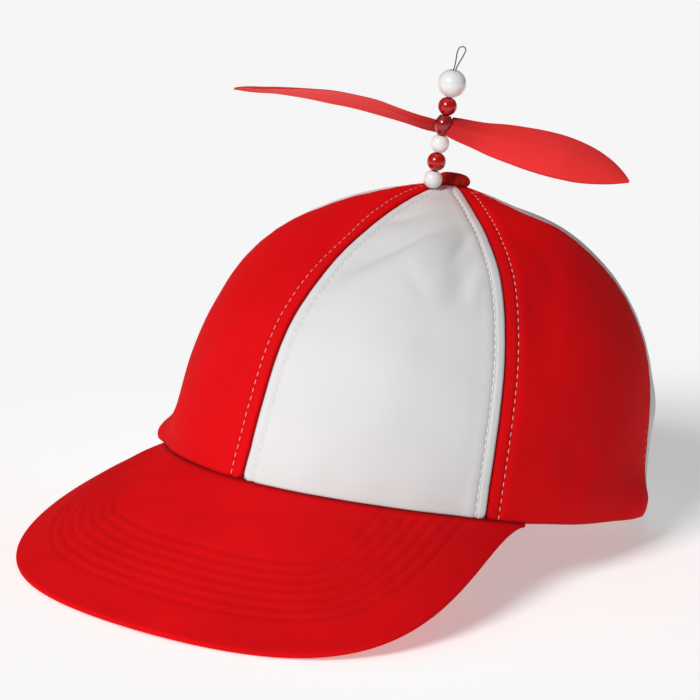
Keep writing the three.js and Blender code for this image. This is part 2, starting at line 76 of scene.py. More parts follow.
# Relief of the sewn cloth, and how much painted shade darkens its hollows
EDGE_RIDGE = 0.26
SEAM_GROOVE = 0.34
SEAM_PUFF = 0.2
SEAM_PUCKER = 0.055
CLOTH_WAVES = 20
CLOTH_WAVE_HEIGHT = 0.16
HEM_PUFF = 0.25
HEM_HEIGHT = 7.5
HEM_WIDTH = 6
SEAM_SHADE = 0.45
SEAM_SHADE_WIDTH = 0.8
GROOVE_SHADE = 0.06

# Peak
PEAK_DEPTH = 53.3
PEAK_FLARE = 1.95
PEAK_SLOPE = 42 * DEGREE
PEAK_ARCH = 0.0015
PEAK_SWEEP = 1.52
PEAK_HALF_ANGLE = 70 * DEGREE
PEAK_THICKNESS = 2.6
PEAK_END_THICKNESS = 1.2
PEAK_END_DEPTH = 0.5
PEAK_TUCK = 2.0
PEAK_ROWS = 7
PEAK_FIRST_ROW = 15.0
PEAK_ROW_PITCH = 4.1
PEAK_GROOVE = 0.3
# Painted shade along each sewn row's groove
PEAK_GROOVE_SHADE = 0.05
PEAK_WAVES = 24
PEAK_WAVE_HEIGHT = 0.13
PEAK_PUCKER = 0.05
# Painted shadow along the peak's join with the crown
PEAK_SEAM_SHADE = 0.72
PEAK_SEAM_SHADE_WIDTH = 1.5
PEAK_STITCH_LENGTH = 2.3
PEAK_STITCH_WIDTH = 0.34
PEAK_STITCH_SINK = 0.02

# Button
BUTTON_RADIUS = 6.0
BUTTON_HEIGHT = 4.0
BUTTON_SHANK = 2.0
BUTTON_GATHER = 0.012
RIVET_RADIUS = 4.0
RIVET_THICKNESS = 0.8

# Wire, beads and propeller
WIRE_RADIUS = 0.22
WIRE_AHEAD = 15.5
WIRE_ASIDE = 1.3
WIRE_LEAN_ASIDE = 4.8 * DEGREE
WIRE_LEAN_AHEAD = 3 * DEGREE
TAIL_LENGTH = 7.0
LOOP_HEIGHT = 8.7
LOOP_WIDTH = 3.1
LOOP_LEAN = 9 * DEGREE
LOOP_TURN = 35 * DEGREE
SMALL_BEAD = 3.4
LARGE_BEAD = 5.1
BEAD_HOLE = 1.3
HUB_HEIGHT = 6.9
HUB_RADIUS = 3.3
HUB_END_RADIUS = 2.2
HUB_BORE = 1.3
LONG_REACH = 79.0
SHORT_REACH = 70.0
BLADE_CHORD = 32.4
BLADE_THICKNESS = 0.9
BLADE_CAMBER = 0.045
PROPELLER_TURN = 21.5 * DEGREE
# Painted shade along the blades' edges
BLADE_RIM_SHADE = 0.45

# Swell of the crown over a plain ellipsoid: rise, front, side, back.
CROWN_SECTIONS = np.array([
    (0, 1.0, 1.0, 1.0),
    (15, 1.0, 1.015, 1.06),
    (30, 1.02, 1.055, 1.09),
    (45, 1.0, 1.065, 1.06),
    (60, 0.98, 1.02, 1.03),
    (75, 0.985, 0.99, 0.98),
    (90, 1.0, 1.0, 1.0),
])

# Gores: name, first seam, last seam, bow of each seam, cloth.
GORES = [
    ("crown_front_left", 0, 60, 0, 1, "white"),
    ("crown_side_left", 60, 120, 1, 3, "red"),
    ("crown_back_left", 120, 180, 3, 0, "white"),
    ("crown_back_right", 180, 240, 0, 0, "red"),
    ("crown_side_right", 240, 300, 0, -1, "white"),
    ("crown_front_right", 300, 360, -1, 0, "red"),
]

# Folds of the worn cloth: azimuth, share of the way up, width, height, turn, lift.
FOLDS = [
    (18, 0.6, 0.07, 0.3, 38, -0.026),
    (35, 0.63, 0.09, 0.2, 25, 0.012),
    (48, 0.52, 0.07, 0.13, 15, -0.016),
    (41, 0.36, 0.1, 0.12, 0, -0.007),
    (73, 0.42, 0.08, 0.3, 0, -0.009),
    (93, 0.36, 0.14, 0.3, 0, 0.004),
    (83, 0.13, 0.09, 0.12, 10, -0.012),
    (115, 0.03, 0.18, 0.13, 0, 0.042),
    (117, 0.34, 0.2, 0.42, 0, 0.017),
    (114, 0.68, 0.2, 0.2, 0, 0.013),
    (131, 0.22, 0.13, 0.12, 0, 0.011),
    (156, 0.45, 0.12, 0.25, -15, -0.014),
    (207, 0.5, 0.1, 0.25, 12, -0.016),
    (222, 0.22, 0.12, 0.14, 0, 0.012),
    (258, 0.25, 0.12, 0.16, 0, 0.012),
    (276, 0.45, 0.1, 0.28, 8, -0.018),
    (301, 0.015, 0.22, 0.085, 0, 0.062),
    (306, 0.3, 0.18, 0.16, 0, -0.014),
    (350, 0.6, 0.07, 0.2, -8, -0.02),
]

# Creases laid over the folds, in the same columns.
CREASES = [
    (12, 0.72, 0.043, 0.16, 42, -0.008),
    (22, 0.66, 0.051, 0.16, 40, 0.006),
    (47, 0.62, 0.037, 0.12, 18, -0.008),
    (52, 0.5, 0.034, 0.1, 10, 0.004),
    (33, 0.5, 0.043, 0.14, -35, -0.003),
    (80, 0.55, 0.051, 0.2, 8, -0.006),
    (100, 0.5, 0.051, 0.16, -12, -0.005),
    (92, 0.2, 0.051, 0.14, 18, -0.005),
    (318, 0.6, 0.051, 0.18, -30, -0.006),
    (335, 0.35, 0.051, 0.16, 14, -0.004),
    (310, 0.14, 0.051, 0.1, -50, -0.007),
    (148, 0.6, 0.051, 0.18, 22, -0.006),
    (168, 0.3, 0.051, 0.16, -18, -0.005),
    (215, 0.62, 0.051, 0.18, -24, -0.006),
    (196, 0.3, 0.051, 0.16, 16, -0.005),
    (262, 0.55, 0.051, 0.18, 20, -0.006),
    (285, 0.3, 0.051, 0.16, -14, -0.005),
]

# Blade sections: place, chord, pitch, droop, and the long blade's own pitch and droop.
BLADE_SECTIONS = np.array([
    (0.03, 0.27, 45, 0.001, 38, 0.012),
    (0.11, 0.39, 35, 0.007, 30, 0.01),
    (0.2, 0.5, 30.5, 0.012, 25.5, 0.001),
    (0.3, 0.68, 26.5, 0.013, 22.5, -0.008),
    (0.41, 0.83, 23.5, 0.015, 19, -0.01),
    (0.5, 0.92, 22.3, 0.018, 17, -0.008),
    (0.6, 0.98, 20.8, 0.023, 14.5, 0.002),
    (0.69, 1, 18.5, 0.03, 12, 0.012),
    (0.78, 0.93, 16.7, 0.04, 10.2, 0.024),
    (0.86, 0.75, 15.2, 0.049, 9.2, 0.036),
    (0.93, 0.47, 14.5, 0.058, 12, 0.046),
    (0.975, 0.22, 14, 0.064, 14, 0.053),
    (1, 0.05, 14, 0.068, 14, 0.057),
])


# Shape helpers

def table_value(table, column, at):
    """A smooth value through the rows of a table, whose first column is the key."""
    keys = table[:, 0]
    values = table[:, column]
    before = np.maximum(np.arange(len(keys)) - 1, 0)
    after = np.minimum(np.arange(len(keys)) + 1, len(keys) - 1)
    slopes = (values[after] - values[before]) / (keys[after] - keys[before])
    at = np.asarray(at, float)
    i = np.clip(np.searchsorted(keys, at) - 1, 0, len(keys) - 2)
    span = keys[i + 1] - keys[i]
    t = (at - keys[i]) / span
    a, b = values[i], values[i + 1]
    m, n = slopes[i] * span, slopes[i + 1] * span
    return a + m * t + (3 * (b - a) - 2 * m - n) * t**2 + (2 * (a - b) + m + n) * t**3


def smooth_step(low, high, value):
    t = np.clip((value - low) / (high - low), 0, 1)
    return t * t * (3 - 2 * t)


def bump_at(distance, centre, width):
    return np.exp(-((distance - centre) / width) ** 2)


def rounded_drop(distance, radius):
    """How far a rolled edge has dropped at a distance from the edge."""
    inside = np.clip(radius - distance, 0, radius)
    return radius - np.sqrt(np.maximum(radius**2 - inside**2, 0))


def unit(vectors):
    return vectors / np.maximum(np.linalg.norm(vectors, axis=-1, keepdims=True), 1e-12)


def wrapped(angle):
    return np.arctan2(np.sin(angle), np.cos(angle))


def spun(points, turn):
    """Points turned about their own third axis."""
    c, s = math.cos(turn), math.sin(turn)
    return np.stack([points[..., 0] * c - points[..., 1] * s,
                     points[..., 0] * s + points[..., 1] * c, points[..., 2]], axis=-1)


def lengths_along(points, axis):
    """Distance along one axis of a grid of points, from the first of them."""
    steps = np.linalg.norm(np.diff(points, axis=axis), axis=-1)
    start = np.zeros_like(np.take(steps, [0], axis=axis))
    return np.concatenate([start, np.cumsum(steps, axis=axis)], axis=axis)


def ripples(points, seed, count, shortest, longest):
    """Low, even unevenness of cloth: waves in many directions, from a fixed seed."""
    rng = np.random.default_rng(seed)
    total = np.zeros(points.shape[:-1])
    for _ in range(count):
        way = unit(rng.normal(size=3))
        length = rng.uniform(shortest, longest)
        total += np.sin(2 * HALF_TURN * (points @ way) / length + rng.uniform(0, 6.28))
    return total / math.sqrt(count)


def crown_point(azimuth, rise):
    c, s = np.cos(azimuth), np.sin(azimuth)
    at = rise / DEGREE
    ends = np.where(c > 0, table_value(CROWN_SECTIONS, 1, at), table_value(CROWN_SECTIONS, 3, at))
    swell = ends * c**2 + table_value(CROWN_SECTIONS, 2, at) * s**2
    plan = swell * np.cos(rise)
    return np.stack([RIM_WIDTH / 2 * s * plan, -RIM_LENGTH / 2 * c * plan,
                     CROWN_HEIGHT * swell * np.sin(rise)], axis=-1)


def crown_normal(azimuth, rise):
    step = 0.001
    p = crown_point(azimuth, rise)
    return unit(np.cross(crown_point(azimuth + step, rise) - p,
                         crown_point(azimuth, rise + step) - p))


def crown_angles(x, y):
    """Azimuth and rise of the crown's surface over a point of the plan."""
    azimuth = math.atan2(x / RIM_WIDTH, -y / RIM_LENGTH)
    low, high = 30 * DEGREE, 90 * DEGREE
    for _ in range(40):
        middle = (low + high) / 2
        p = crown_point(azimuth, middle)
        if math.hypot(p[0], p[1]) > math.hypot(x, y):
            low = middle
        else:
            high = middle
    return azimuth, low


def peak_thickness(share):
    return PEAK_END_THICKNESS + (PEAK_THICKNESS - PEAK_END_THICKNESS) * (1 - np.abs(share) ** 4)


def rim_seat(azimuth):
    """Height of the gores' lower edge, which sits on the peak in front."""
    from_front = np.abs(wrapped(azimuth))
    column = GORE_COLUMN * DEGREE
    share = np.minimum(from_front / PEAK_HALF_ANGLE, 1)
    fade = 1 - smooth_step(PEAK_HALF_ANGLE + column, PEAK_HALF_ANGLE + 3 * column, from_front)
    return (peak_thickness(share) - PEAK_PRESS) * fade


def fold_lift(rows, azimuth, up, radius):
    lift = np.zeros(np.shape(azimuth))
    for at, height, wide, tall, turn, amount in rows:
        dx = wrapped(azimuth - at * DEGREE) * radius
        dy = (up - height) * CROWN_HEIGHT * HALF_TURN / 2
        c, s = math.cos(turn * DEGREE), math.sin(turn * DEGREE)
        x = (dx * c - dy * s) / (wide * CROWN_HEIGHT)
        y = (dx * s + dy * c) / (tall * CROWN_HEIGHT)
        lift += amount * CROWN_HEIGHT * np.exp(-2 * (x**2 + y**2))
    return lift


# The cap's place in the frame

wire_at = crown_angles(WIRE_ASIDE, -WIRE_AHEAD)
wire_foot = crown_point(*wire_at)
wire_axis = unit(np.array([math.tan(WIRE_LEAN_ASIDE), -math.tan(WIRE_LEAN_AHEAD), 1.0]))
wire_side = unit(np.cross([0.0, 1.0, 0.0], wire_axis))
wire_front = np.cross(wire_axis, wire_side)
small_half = math.sqrt(SMALL_BEAD**2 - BEAD_HOLE**2)
large_half = math.sqrt(LARGE_BEAD**2 - BEAD_HOLE**2)
first_height = (SMALL_BEAD + CLEARANCE) / float(crown_normal(*wire_at) @ wire_axis)

# Items on the wire from the crown up, with the height of each one's middle.
stack_heights = {}
height = first_height - small_half
for item, half in (("bead_base_white", small_half), ("bead_lower_red", small_half),
                   ("bead_middle_white", small_half), ("propeller", HUB_HEIGHT / 2),
                   ("bead_upper_red", small_half), ("bead_top_white", large_half)):
    stack_heights[item] = height + half
    height += 2 * half + CLEARANCE
loop_start = height

spin = next(joint for joint in frame["joints"] if joint["name"] == "propeller_spin")
spin_axis = spin["axis"]
tilt = (math.atan2(spin_axis[1], spin_axis[2]) - math.atan2(wire_axis[1], wire_axis[2]))
tilt_rows = np.array([[1, 0, 0],
                      [0, math.cos(tilt), math.sin(tilt)],
                      [0, -math.sin(tilt), math.cos(tilt)]])
hub_centre = wire_foot + wire_axis * stack_heights["propeller"]
cap_place = np.array(spin["pos_m"]) * 1000 - tilt_rows @ hub_centre


def placed(points):
    """Cap millimetres to the frame's metres."""
    return (np.asarray(points) @ tilt_rows.T + cap_place) / 1000


def turned_way(vectors):
    return np.asarray(vectors) @ tilt_rows.T


def on_wire(points, turn=0.0):
    """Points in the wire's own axes to cap millimetres."""
    points = spun(np.asarray(points, float), turn)
    return wire_foot + points[..., 0:1] * wire_side + points[..., 1:2] * wire_front \
        + points[..., 2:3] * wire_axis


# Materials

def make_group(name, inputs, outputs):
    group = bpy.data.node_groups.new(name, "ShaderNodeTree")
    for label, kind, default in inputs:
        socket = group.interface.new_socket(name=label, in_out="INPUT", socket_type=kind)
        socket.default_value = default
    for label, kind in outputs:
        group.interface.new_socket(name=label, in_out="OUTPUT", socket_type=kind)
    return group, group.nodes.new("NodeGroupInput"), group.nodes.new("NodeGroupOutput")


def math_node(nodes, links, operation, first, second=None, clamp=False):
    node = nodes.new("ShaderNodeMath")
    node.operation = operation
    node.use_clamp = clamp
    for i, value in enumerate((first, second)):
        if value is None:
            continue
        if isinstance(value, (int, float)):
            node.inputs[i].default_value = value
        else:
            links.new(value, node.inputs[i])
    return node.outputs[0]


def scaled(nodes, links, value, factor, base, clamp=False):
    """The value times a factor, plus a base."""
    result = math_node(nodes, links, "MULTIPLY_ADD", value, factor, clamp)
    result.node.inputs[2].default_value = base
    return result


def noise_node(nodes, links, place, scale, detail=2.0, distortion=0.0):
    noise = nodes.new("ShaderNodeTexNoise")
    noise.inputs["Scale"].default_value = scale
    noise.inputs["Detail"].default_value = detail
    noise.inputs["Distortion"].default_value = distortion
    links.new(place.outputs["Object"], noise.inputs["Vector"])
    return noise


def add_bump(nodes, links, shader, height, strength, distance):
    bump = nodes.new("ShaderNodeBump")
    bump.inputs["Strength"].default_value = strength
    bump.inputs["Distance"].default_value = distance
    links.new(height, bump.inputs["Height"])
    links.new(bump.outputs[0], shader.inputs["Normal"])


def painted_hollow_shade(nodes, links):
    """Full brightness less the mesh's own mask of painted shade, which darkens its hollows."""
    painted_shade = nodes.new("ShaderNodeAttribute")
    painted_shade.attribute_name = "painted_shade"
    return math_node(nodes, links, "SUBTRACT", 1.0, painted_shade.outputs["Fac"], clamp=True)


def twill_group():
    """Diagonal ribs of twill and the crossing threads, on the cloth's own UV in metres."""
    group, entry, leave = make_group(
        "twill",
        [("Pitch", "NodeSocketFloat", 0.0006)],
        [("Height", "NodeSocketFloat"), ("Thread", "NodeSocketFloat")],
    )
    nodes, links = group.nodes, group.links
    uv = nodes.new("ShaderNodeUVMap")
    uv.uv_map = "cloth"
    split = nodes.new("ShaderNodeSeparateXYZ")
    links.new(uv.outputs[0], split.inputs[0])
    u, v = split.outputs[0], split.outputs[1]
    turn = math_node(nodes, links, "DIVIDE", 2 * HALF_TURN, entry.outputs["Pitch"])
    rib = math_node(nodes, links, "ADD", u, math_node(nodes, links, "MULTIPLY", v, 0.62))
    rib = math_node(nodes, links, "SINE", math_node(nodes, links, "MULTIPLY", rib, turn))
    weft = math_node(nodes, links, "MULTIPLY", v, math_node(nodes, links, "MULTIPLY", turn, 1.6))
    weft = math_node(nodes, links, "SINE", weft)
    weft = math_node(nodes, links, "MULTIPLY", weft, 0.35)
    both = math_node(nodes, links, "ADD", rib, weft)
    links.new(scaled(nodes, links, both, 0.35, 0.5), leave.inputs["Height"])
    links.new(scaled(nodes, links, both, 0.02, 0.96, clamp=True), leave.inputs["Thread"])
    return group


def wash_group():
    """Patchy colour of washed cloth, and a fine speckle for its gloss and height."""
    group, entry, leave = make_group(
        "wash",
        [("Scale", "NodeSocketFloat", 30.0), ("Low", "NodeSocketFloat", 0.9),
         ("High", "NodeSocketFloat", 1.06)],
        [("Shade", "NodeSocketFloat"), ("Speckle", "NodeSocketFloat")],
    )
    nodes, links = group.nodes, group.links
    place = nodes.new("ShaderNodeTexCoord")
    broad = noise_node(nodes, links, place, 30, detail=4)
    links.new(entry.outputs["Scale"], broad.inputs["Scale"])
    span = nodes.new("ShaderNodeMapRange")
    span.inputs["From Min"].default_value = 0.3
    span.inputs["From Max"].default_value = 0.7
    links.new(broad.outputs["Fac"], span.inputs["Value"])
    links.new(entry.outputs["Low"], span.inputs["To Min"])
    links.new(entry.outputs["High"], span.inputs["To Max"])
    links.new(span.outputs[0], leave.inputs["Shade"])
    fine = noise_node(nodes, links, place, 900)
    links.new(fine.outputs["Fac"], leave.inputs["Speckle"])
    return group


def shaded_colour(nodes, links, colour, factors):
    """The colour times each factor, as the Base Color that changes over the surface."""
    total = factors[0]
    for factor in factors[1:]:
        total = math_node(nodes, links, "MULTIPLY", total, factor)
    tint = nodes.new("ShaderNodeCombineColor")
    for i, part in enumerate(colour[:3]):
        links.new(math_node(nodes, links, "MULTIPLY", total, part, clamp=True), tint.inputs[i])
    return tint.outputs[0]


def new_material(name):
    material = bpy.data.materials.new(name)
    material.use_nodes = True
    nodes = material.node_tree.nodes
    return material, nodes, material.node_tree.links, nodes["Principled BSDF"]


TWILL = twill_group()
TWILL_PITCH = 0.0005
WASH = wash_group()


def cloth_material(name, colour, depth, low, high):
    """Matt twill, patchy between two shades, with painted shade darkening its hollows."""
    material, nodes, links, shader = new_material(name)
    weave = nodes.new("ShaderNodeGroup")
    weave.node_tree = TWILL
    weave.inputs["Pitch"].default_value = TWILL_PITCH
    wash = nodes.new("ShaderNodeGroup")
    wash.node_tree = WASH
    wash.inputs["Low"].default_value = low
    wash.inputs["High"].default_value = high
    # Painted shade: the mesh's mask darkens the cloth along its seams, grooves and joins
    shade = painted_hollow_shade(nodes, links)
    tint = shaded_colour(nodes, links, colour,
                         [weave.outputs["Thread"], wash.outputs["Shade"], shade])
    links.new(tint, shader.inputs["Base Color"])
    rough = scaled(nodes, links, wash.outputs["Speckle"], 0.16, 0.78)
    links.new(rough, shader.inputs["Roughness"])
    height = math_node(nodes, links, "MULTIPLY", wash.outputs["Speckle"], 0.7)
    height = math_node(nodes, links, "ADD", weave.outputs["Height"], height)
    add_bump(nodes, links, shader, height, depth, 0.0002)
    shader.inputs["Specular IOR Level"].default_value = 0.08
    return material


def thread_material(name, colour):
    """Twisted sewing thread: fine slanting plies along each stitch."""
    material, nodes, links, shader = new_material(name)
    place = nodes.new("ShaderNodeTexCoord")
    wave = nodes.new("ShaderNodeTexWave")
    wave.bands_direction = "DIAGONAL"
    wave.inputs["Scale"].default_value = 900
    wave.inputs["Distortion"].default_value = 0.5
    links.new(place.outputs["Object"], wave.inputs["Vector"])
    shade = scaled(nodes, links, wave.outputs["Fac"], 0.12, 0.9)
    links.new(shaded_colour(nodes, links, colour, [shade]), shader.inputs["Base Color"])
    add_bump(nodes, links, shader, wave.outputs["Fac"], 0.5, 0.0001)
    shader.inputs["Roughness"].default_value = 0.6
    shader.inputs["Specular IOR Level"].default_value = 0.1
    return material


def plastic_material(name, colour, roughness, coat, scale, depth, shine=0.5, glow=0.0):
    """Moulded plastic: faint flow marks in the colour, fine scuffs in the gloss.

    glow is painted: an emission in the plastic's own colour that stands in for light coming through
    where the plastic is thin.
    """
    material, nodes, links, shader = new_material(name)
    place = nodes.new("ShaderNodeTexCoord")
    flow = noise_node(nodes, links, place, scale, detail=3, distortion=0.6)
    shade = scaled(nodes, links, flow.outputs["Fac"], 0.16, 0.92)
    # Painted shade from the mesh's mask, where it has one
    painted_shading = painted_hollow_shade(nodes, links)
    links.new(shaded_colour(nodes, links, colour, [shade, painted_shading]), shader.inputs["Base Color"])
    scuff = noise_node(nodes, links, place, 14 * scale, detail=5)
    rough = scaled(nodes, links, scuff.outputs["Fac"], 0.14, roughness - 0.07)
    links.new(rough, shader.inputs["Roughness"])
    add_bump(nodes, links, shader, scuff.outputs["Fac"], depth, 0.0003)
    shader.inputs["Specular IOR Level"].default_value = shine
    shader.inputs["Coat Weight"].default_value = coat
    shader.inputs["Coat Roughness"].default_value = 0.08
    # Painted glow: an emission in the plastic's own colour, as strong as glow
    shader.inputs["Emission Color"].default_value = (*colour, 1.0)
    shader.inputs["Emission Strength"].default_value = glow
    return material


def wire_material(name, colour):
    """Drawn steel wire with a fine, uneven grain."""
    material, nodes, links, shader = new_material(name)
    place = nodes.new("ShaderNodeTexCoord")
    lines = noise_node(nodes, links, place, 1800)
    shade = scaled(nodes, links, lines.outputs["Fac"], 0.4, 0.8)
    links.new(shaded_colour(nodes, links, colour, [shade]), shader.inputs["Base Color"])
    rough = scaled(nodes, links, lines.outputs["Fac"], 0.2, 0.28)
    links.new(rough, shader.inputs["Roughness"])
    shader.inputs["Metallic"].default_value = 1.0
    return material


def floor_material(name, colour):
    """Pale paper with a small glow of its own, for the photo's flat white ground."""
    material, nodes, links, shader = new_material(name)
    place = nodes.new("ShaderNodeTexCoord")
    grain = noise_node(nodes, links, place, 3)
    shade = scaled(nodes, links, grain.outputs["Fac"], 0.01, 0.995)
    links.new(shaded_colour(nodes, links, colour, [shade]), shader.inputs["Base Color"])
    shader.inputs["Roughness"].default_value = 0.9
    shader.inputs["Specular IOR Level"].default_value = 0.1
    shader.inputs["Emission Color"].default_value = (1.0, 1.0, 1.0, 1.0)
    shader.inputs["Emission Strength"].default_value = 0.35
    return material


RED_CLOTH = cloth_material("red_twill", (0.78, 0.003, 0.006), 0.17, 0.94, 1.04)
PEAK_CLOTH = cloth_material("peak_twill", (0.75, 0.003, 0.006), 0.17, 0.93, 1.05)
WHITE_CLOTH = cloth_material("white_twill", (0.81, 0.81, 0.81), 0.17, 0.97, 1.02)
BUTTON_CLOTH = cloth_material("button_twill", (0.60, 0.026, 0.018), 0.6, 0.88, 1.08)
WHITE_THREAD = thread_material("white_thread", (0.97, 0.97, 0.96))
PALE_THREAD = thread_material("pale_thread", (0.86, 0.54, 0.52))
RED_THREAD = thread_material("red_thread", (0.66, 0.003, 0.006))
RED_BEAD = plastic_material("red_bead_plastic", (0.44, 0.002, 0.003), 0.2, 0.3, 60, 0.05)
WHITE_BEAD = plastic_material("white_bead_plastic", (0.88, 0.88, 0.87), 0.2, 0.5, 60, 0.05)
# The blades get a painted glow, for light through the thin plastic
BLADE_PLASTIC = plastic_material("blade_plastic", (0.97, 0.042, 0.042), 0.55, 0.0, 40, 0.12,
                                 shine=0.04, glow=0.07)
HUB_PLASTIC = plastic_material("hub_plastic", (0.30, 0.004, 0.005), 0.2, 0.5, 60, 0.05)
STEEL_WIRE = wire_material("steel_wire", (0.12, 0.12, 0.13))


# Mesh helpers

def scene_object(name, data):
    thing = bpy.data.objects.new(name, data)
    bpy.context.scene.collection.objects.link(thing)
    return thing


def mesh_piece(name, points, faces, material, uv=None, masks=None):
    """A smooth mesh in the frame. uv is one pair for each point, in metres."""
    mesh = bpy.data.meshes.new(name)
    mesh.from_pydata([tuple(p) for p in points], [], [tuple(f) for f in faces])
    mesh.polygons.foreach_set("use_smooth", [True] * len(mesh.polygons))
    if uv is not None:
        corners = np.empty(len(mesh.loops), dtype=np.int64)
        mesh.loops.foreach_get("vertex_index", corners)
        layer = mesh.uv_layers.new(name="cloth")
        layer.data.foreach_set("uv", np.asarray(uv, np.float32)[corners].ravel())
    for label, values in (masks or {}).items():
        mask = mesh.attributes.new(label, "FLOAT", "POINT")
        mask.data.foreach_set("value", np.asarray(values, np.float32).ravel())
    mesh.materials.append(material)
    mesh.update()
    return scene_object(name, mesh)


def grid_faces(rows, columns, start=0, flip=False, around=False):
    """Quads of a grid of points; around joins the last column to the first."""
    last = columns if around else columns - 1
    j, i = np.meshgrid(np.arange(rows - 1), np.arange(last), indexing="ij")
    k = (i + 1) % columns
    quads = np.stack([j * columns + i, j * columns + k,
                      (j + 1) * columns + k, (j + 1) * columns + i], axis=-1).reshape(-1, 4)
    if flip:
        quads = quads[:, ::-1]
    return quads + start


def shell_faces(rows, columns):
    """Outer grid, inner grid after it, and the walls between their edges."""
    inner = rows * columns
    faces = [grid_faces(rows, columns), grid_faces(rows, columns, inner, flip=True)]
    i = np.arange(columns - 1)
    top = (rows - 1) * columns
    faces.append(np.stack([i + 1, i, i + inner, i + 1 + inner], axis=-1))
    faces.append(np.stack([i + top, i + 1 + top, i + 1 + top + inner, i + top + inner], axis=-1))
    j = np.arange(rows - 1) * columns
    faces.append(np.stack([j, j + columns, j + columns + inner, j + inner], axis=-1))
    right = j + columns - 1
    faces.append(np.stack([right + columns, right, right + inner, right + columns + inner], axis=-1))
    return np.concatenate(faces)


def cloth_shell(name, outer, inner, uv, painted_shade, faces, material):
    """A cloth wall from its outer and inner grids, with the painted shade mask on the outer one
    alone.
    """
    points = placed(np.concatenate([outer.reshape(-1, 3), inner.reshape(-1, 3)]))
    both_uv = np.concatenate([uv.reshape(-1, 2), uv.reshape(-1, 2)])
    both_painted_shade = np.concatenate([painted_shade.ravel(), np.zeros(painted_shade.size)])
    return mesh_piece(name, points, faces, material, uv=both_uv, masks={"painted_shade": both_painted_shade})


def lathe(profile, sides):
    """Rings of points of a turned body, and the quads between them."""
    profile = np.asarray(profile, float)
    angles = np.arange(sides) * 2 * HALF_TURN / sides
    rings = np.stack([profile[:, 0:1] * np.cos(angles), profile[:, 0:1] * np.sin(angles),
                      np.repeat(profile[:, 1:2], sides, axis=1)], axis=-1)
    return rings, grid_faces(len(profile), sides, around=True)


def capped(points, faces, low, high, rows, sides):
    """Closes both ends of a lathe with a point on the axis."""
    points = np.concatenate([points.reshape(-1, 3), [low, high]])
    first = len(points) - 2
    i = np.arange(sides)
    k = (i + 1) % sides
    end = (rows - 1) * sides
    fans = [(first, b, a) for a, b in zip(i, k)]
    fans += [(first + 1, a + end, b + end) for a, b in zip(i, k)]
    return points, [tuple(f) for f in faces] + fans


def dress(piece, body, slot, *nodes):
    """Puts a piece on its body and hides the CAD nodes that it stands for. slot, its finish, is not
    used.
    """
    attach(piece, body)
    if nodes:
        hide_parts(*nodes)
    return piece


def edge_spaced(count, evenness):
    """Shares from 0 to 1 that lie closer together towards both ends."""
    t = np.linspace(0, 1, count)
    return evenness * t + (1 - evenness) * (0.5 - 0.5 * np.cos(HALF_TURN * t))


# The gores

GORE_COLUMNS = 112
GORE_ROWS = 170
COLUMN_EVENNESS = 0.45

sewn = {"white": [], "red": []}


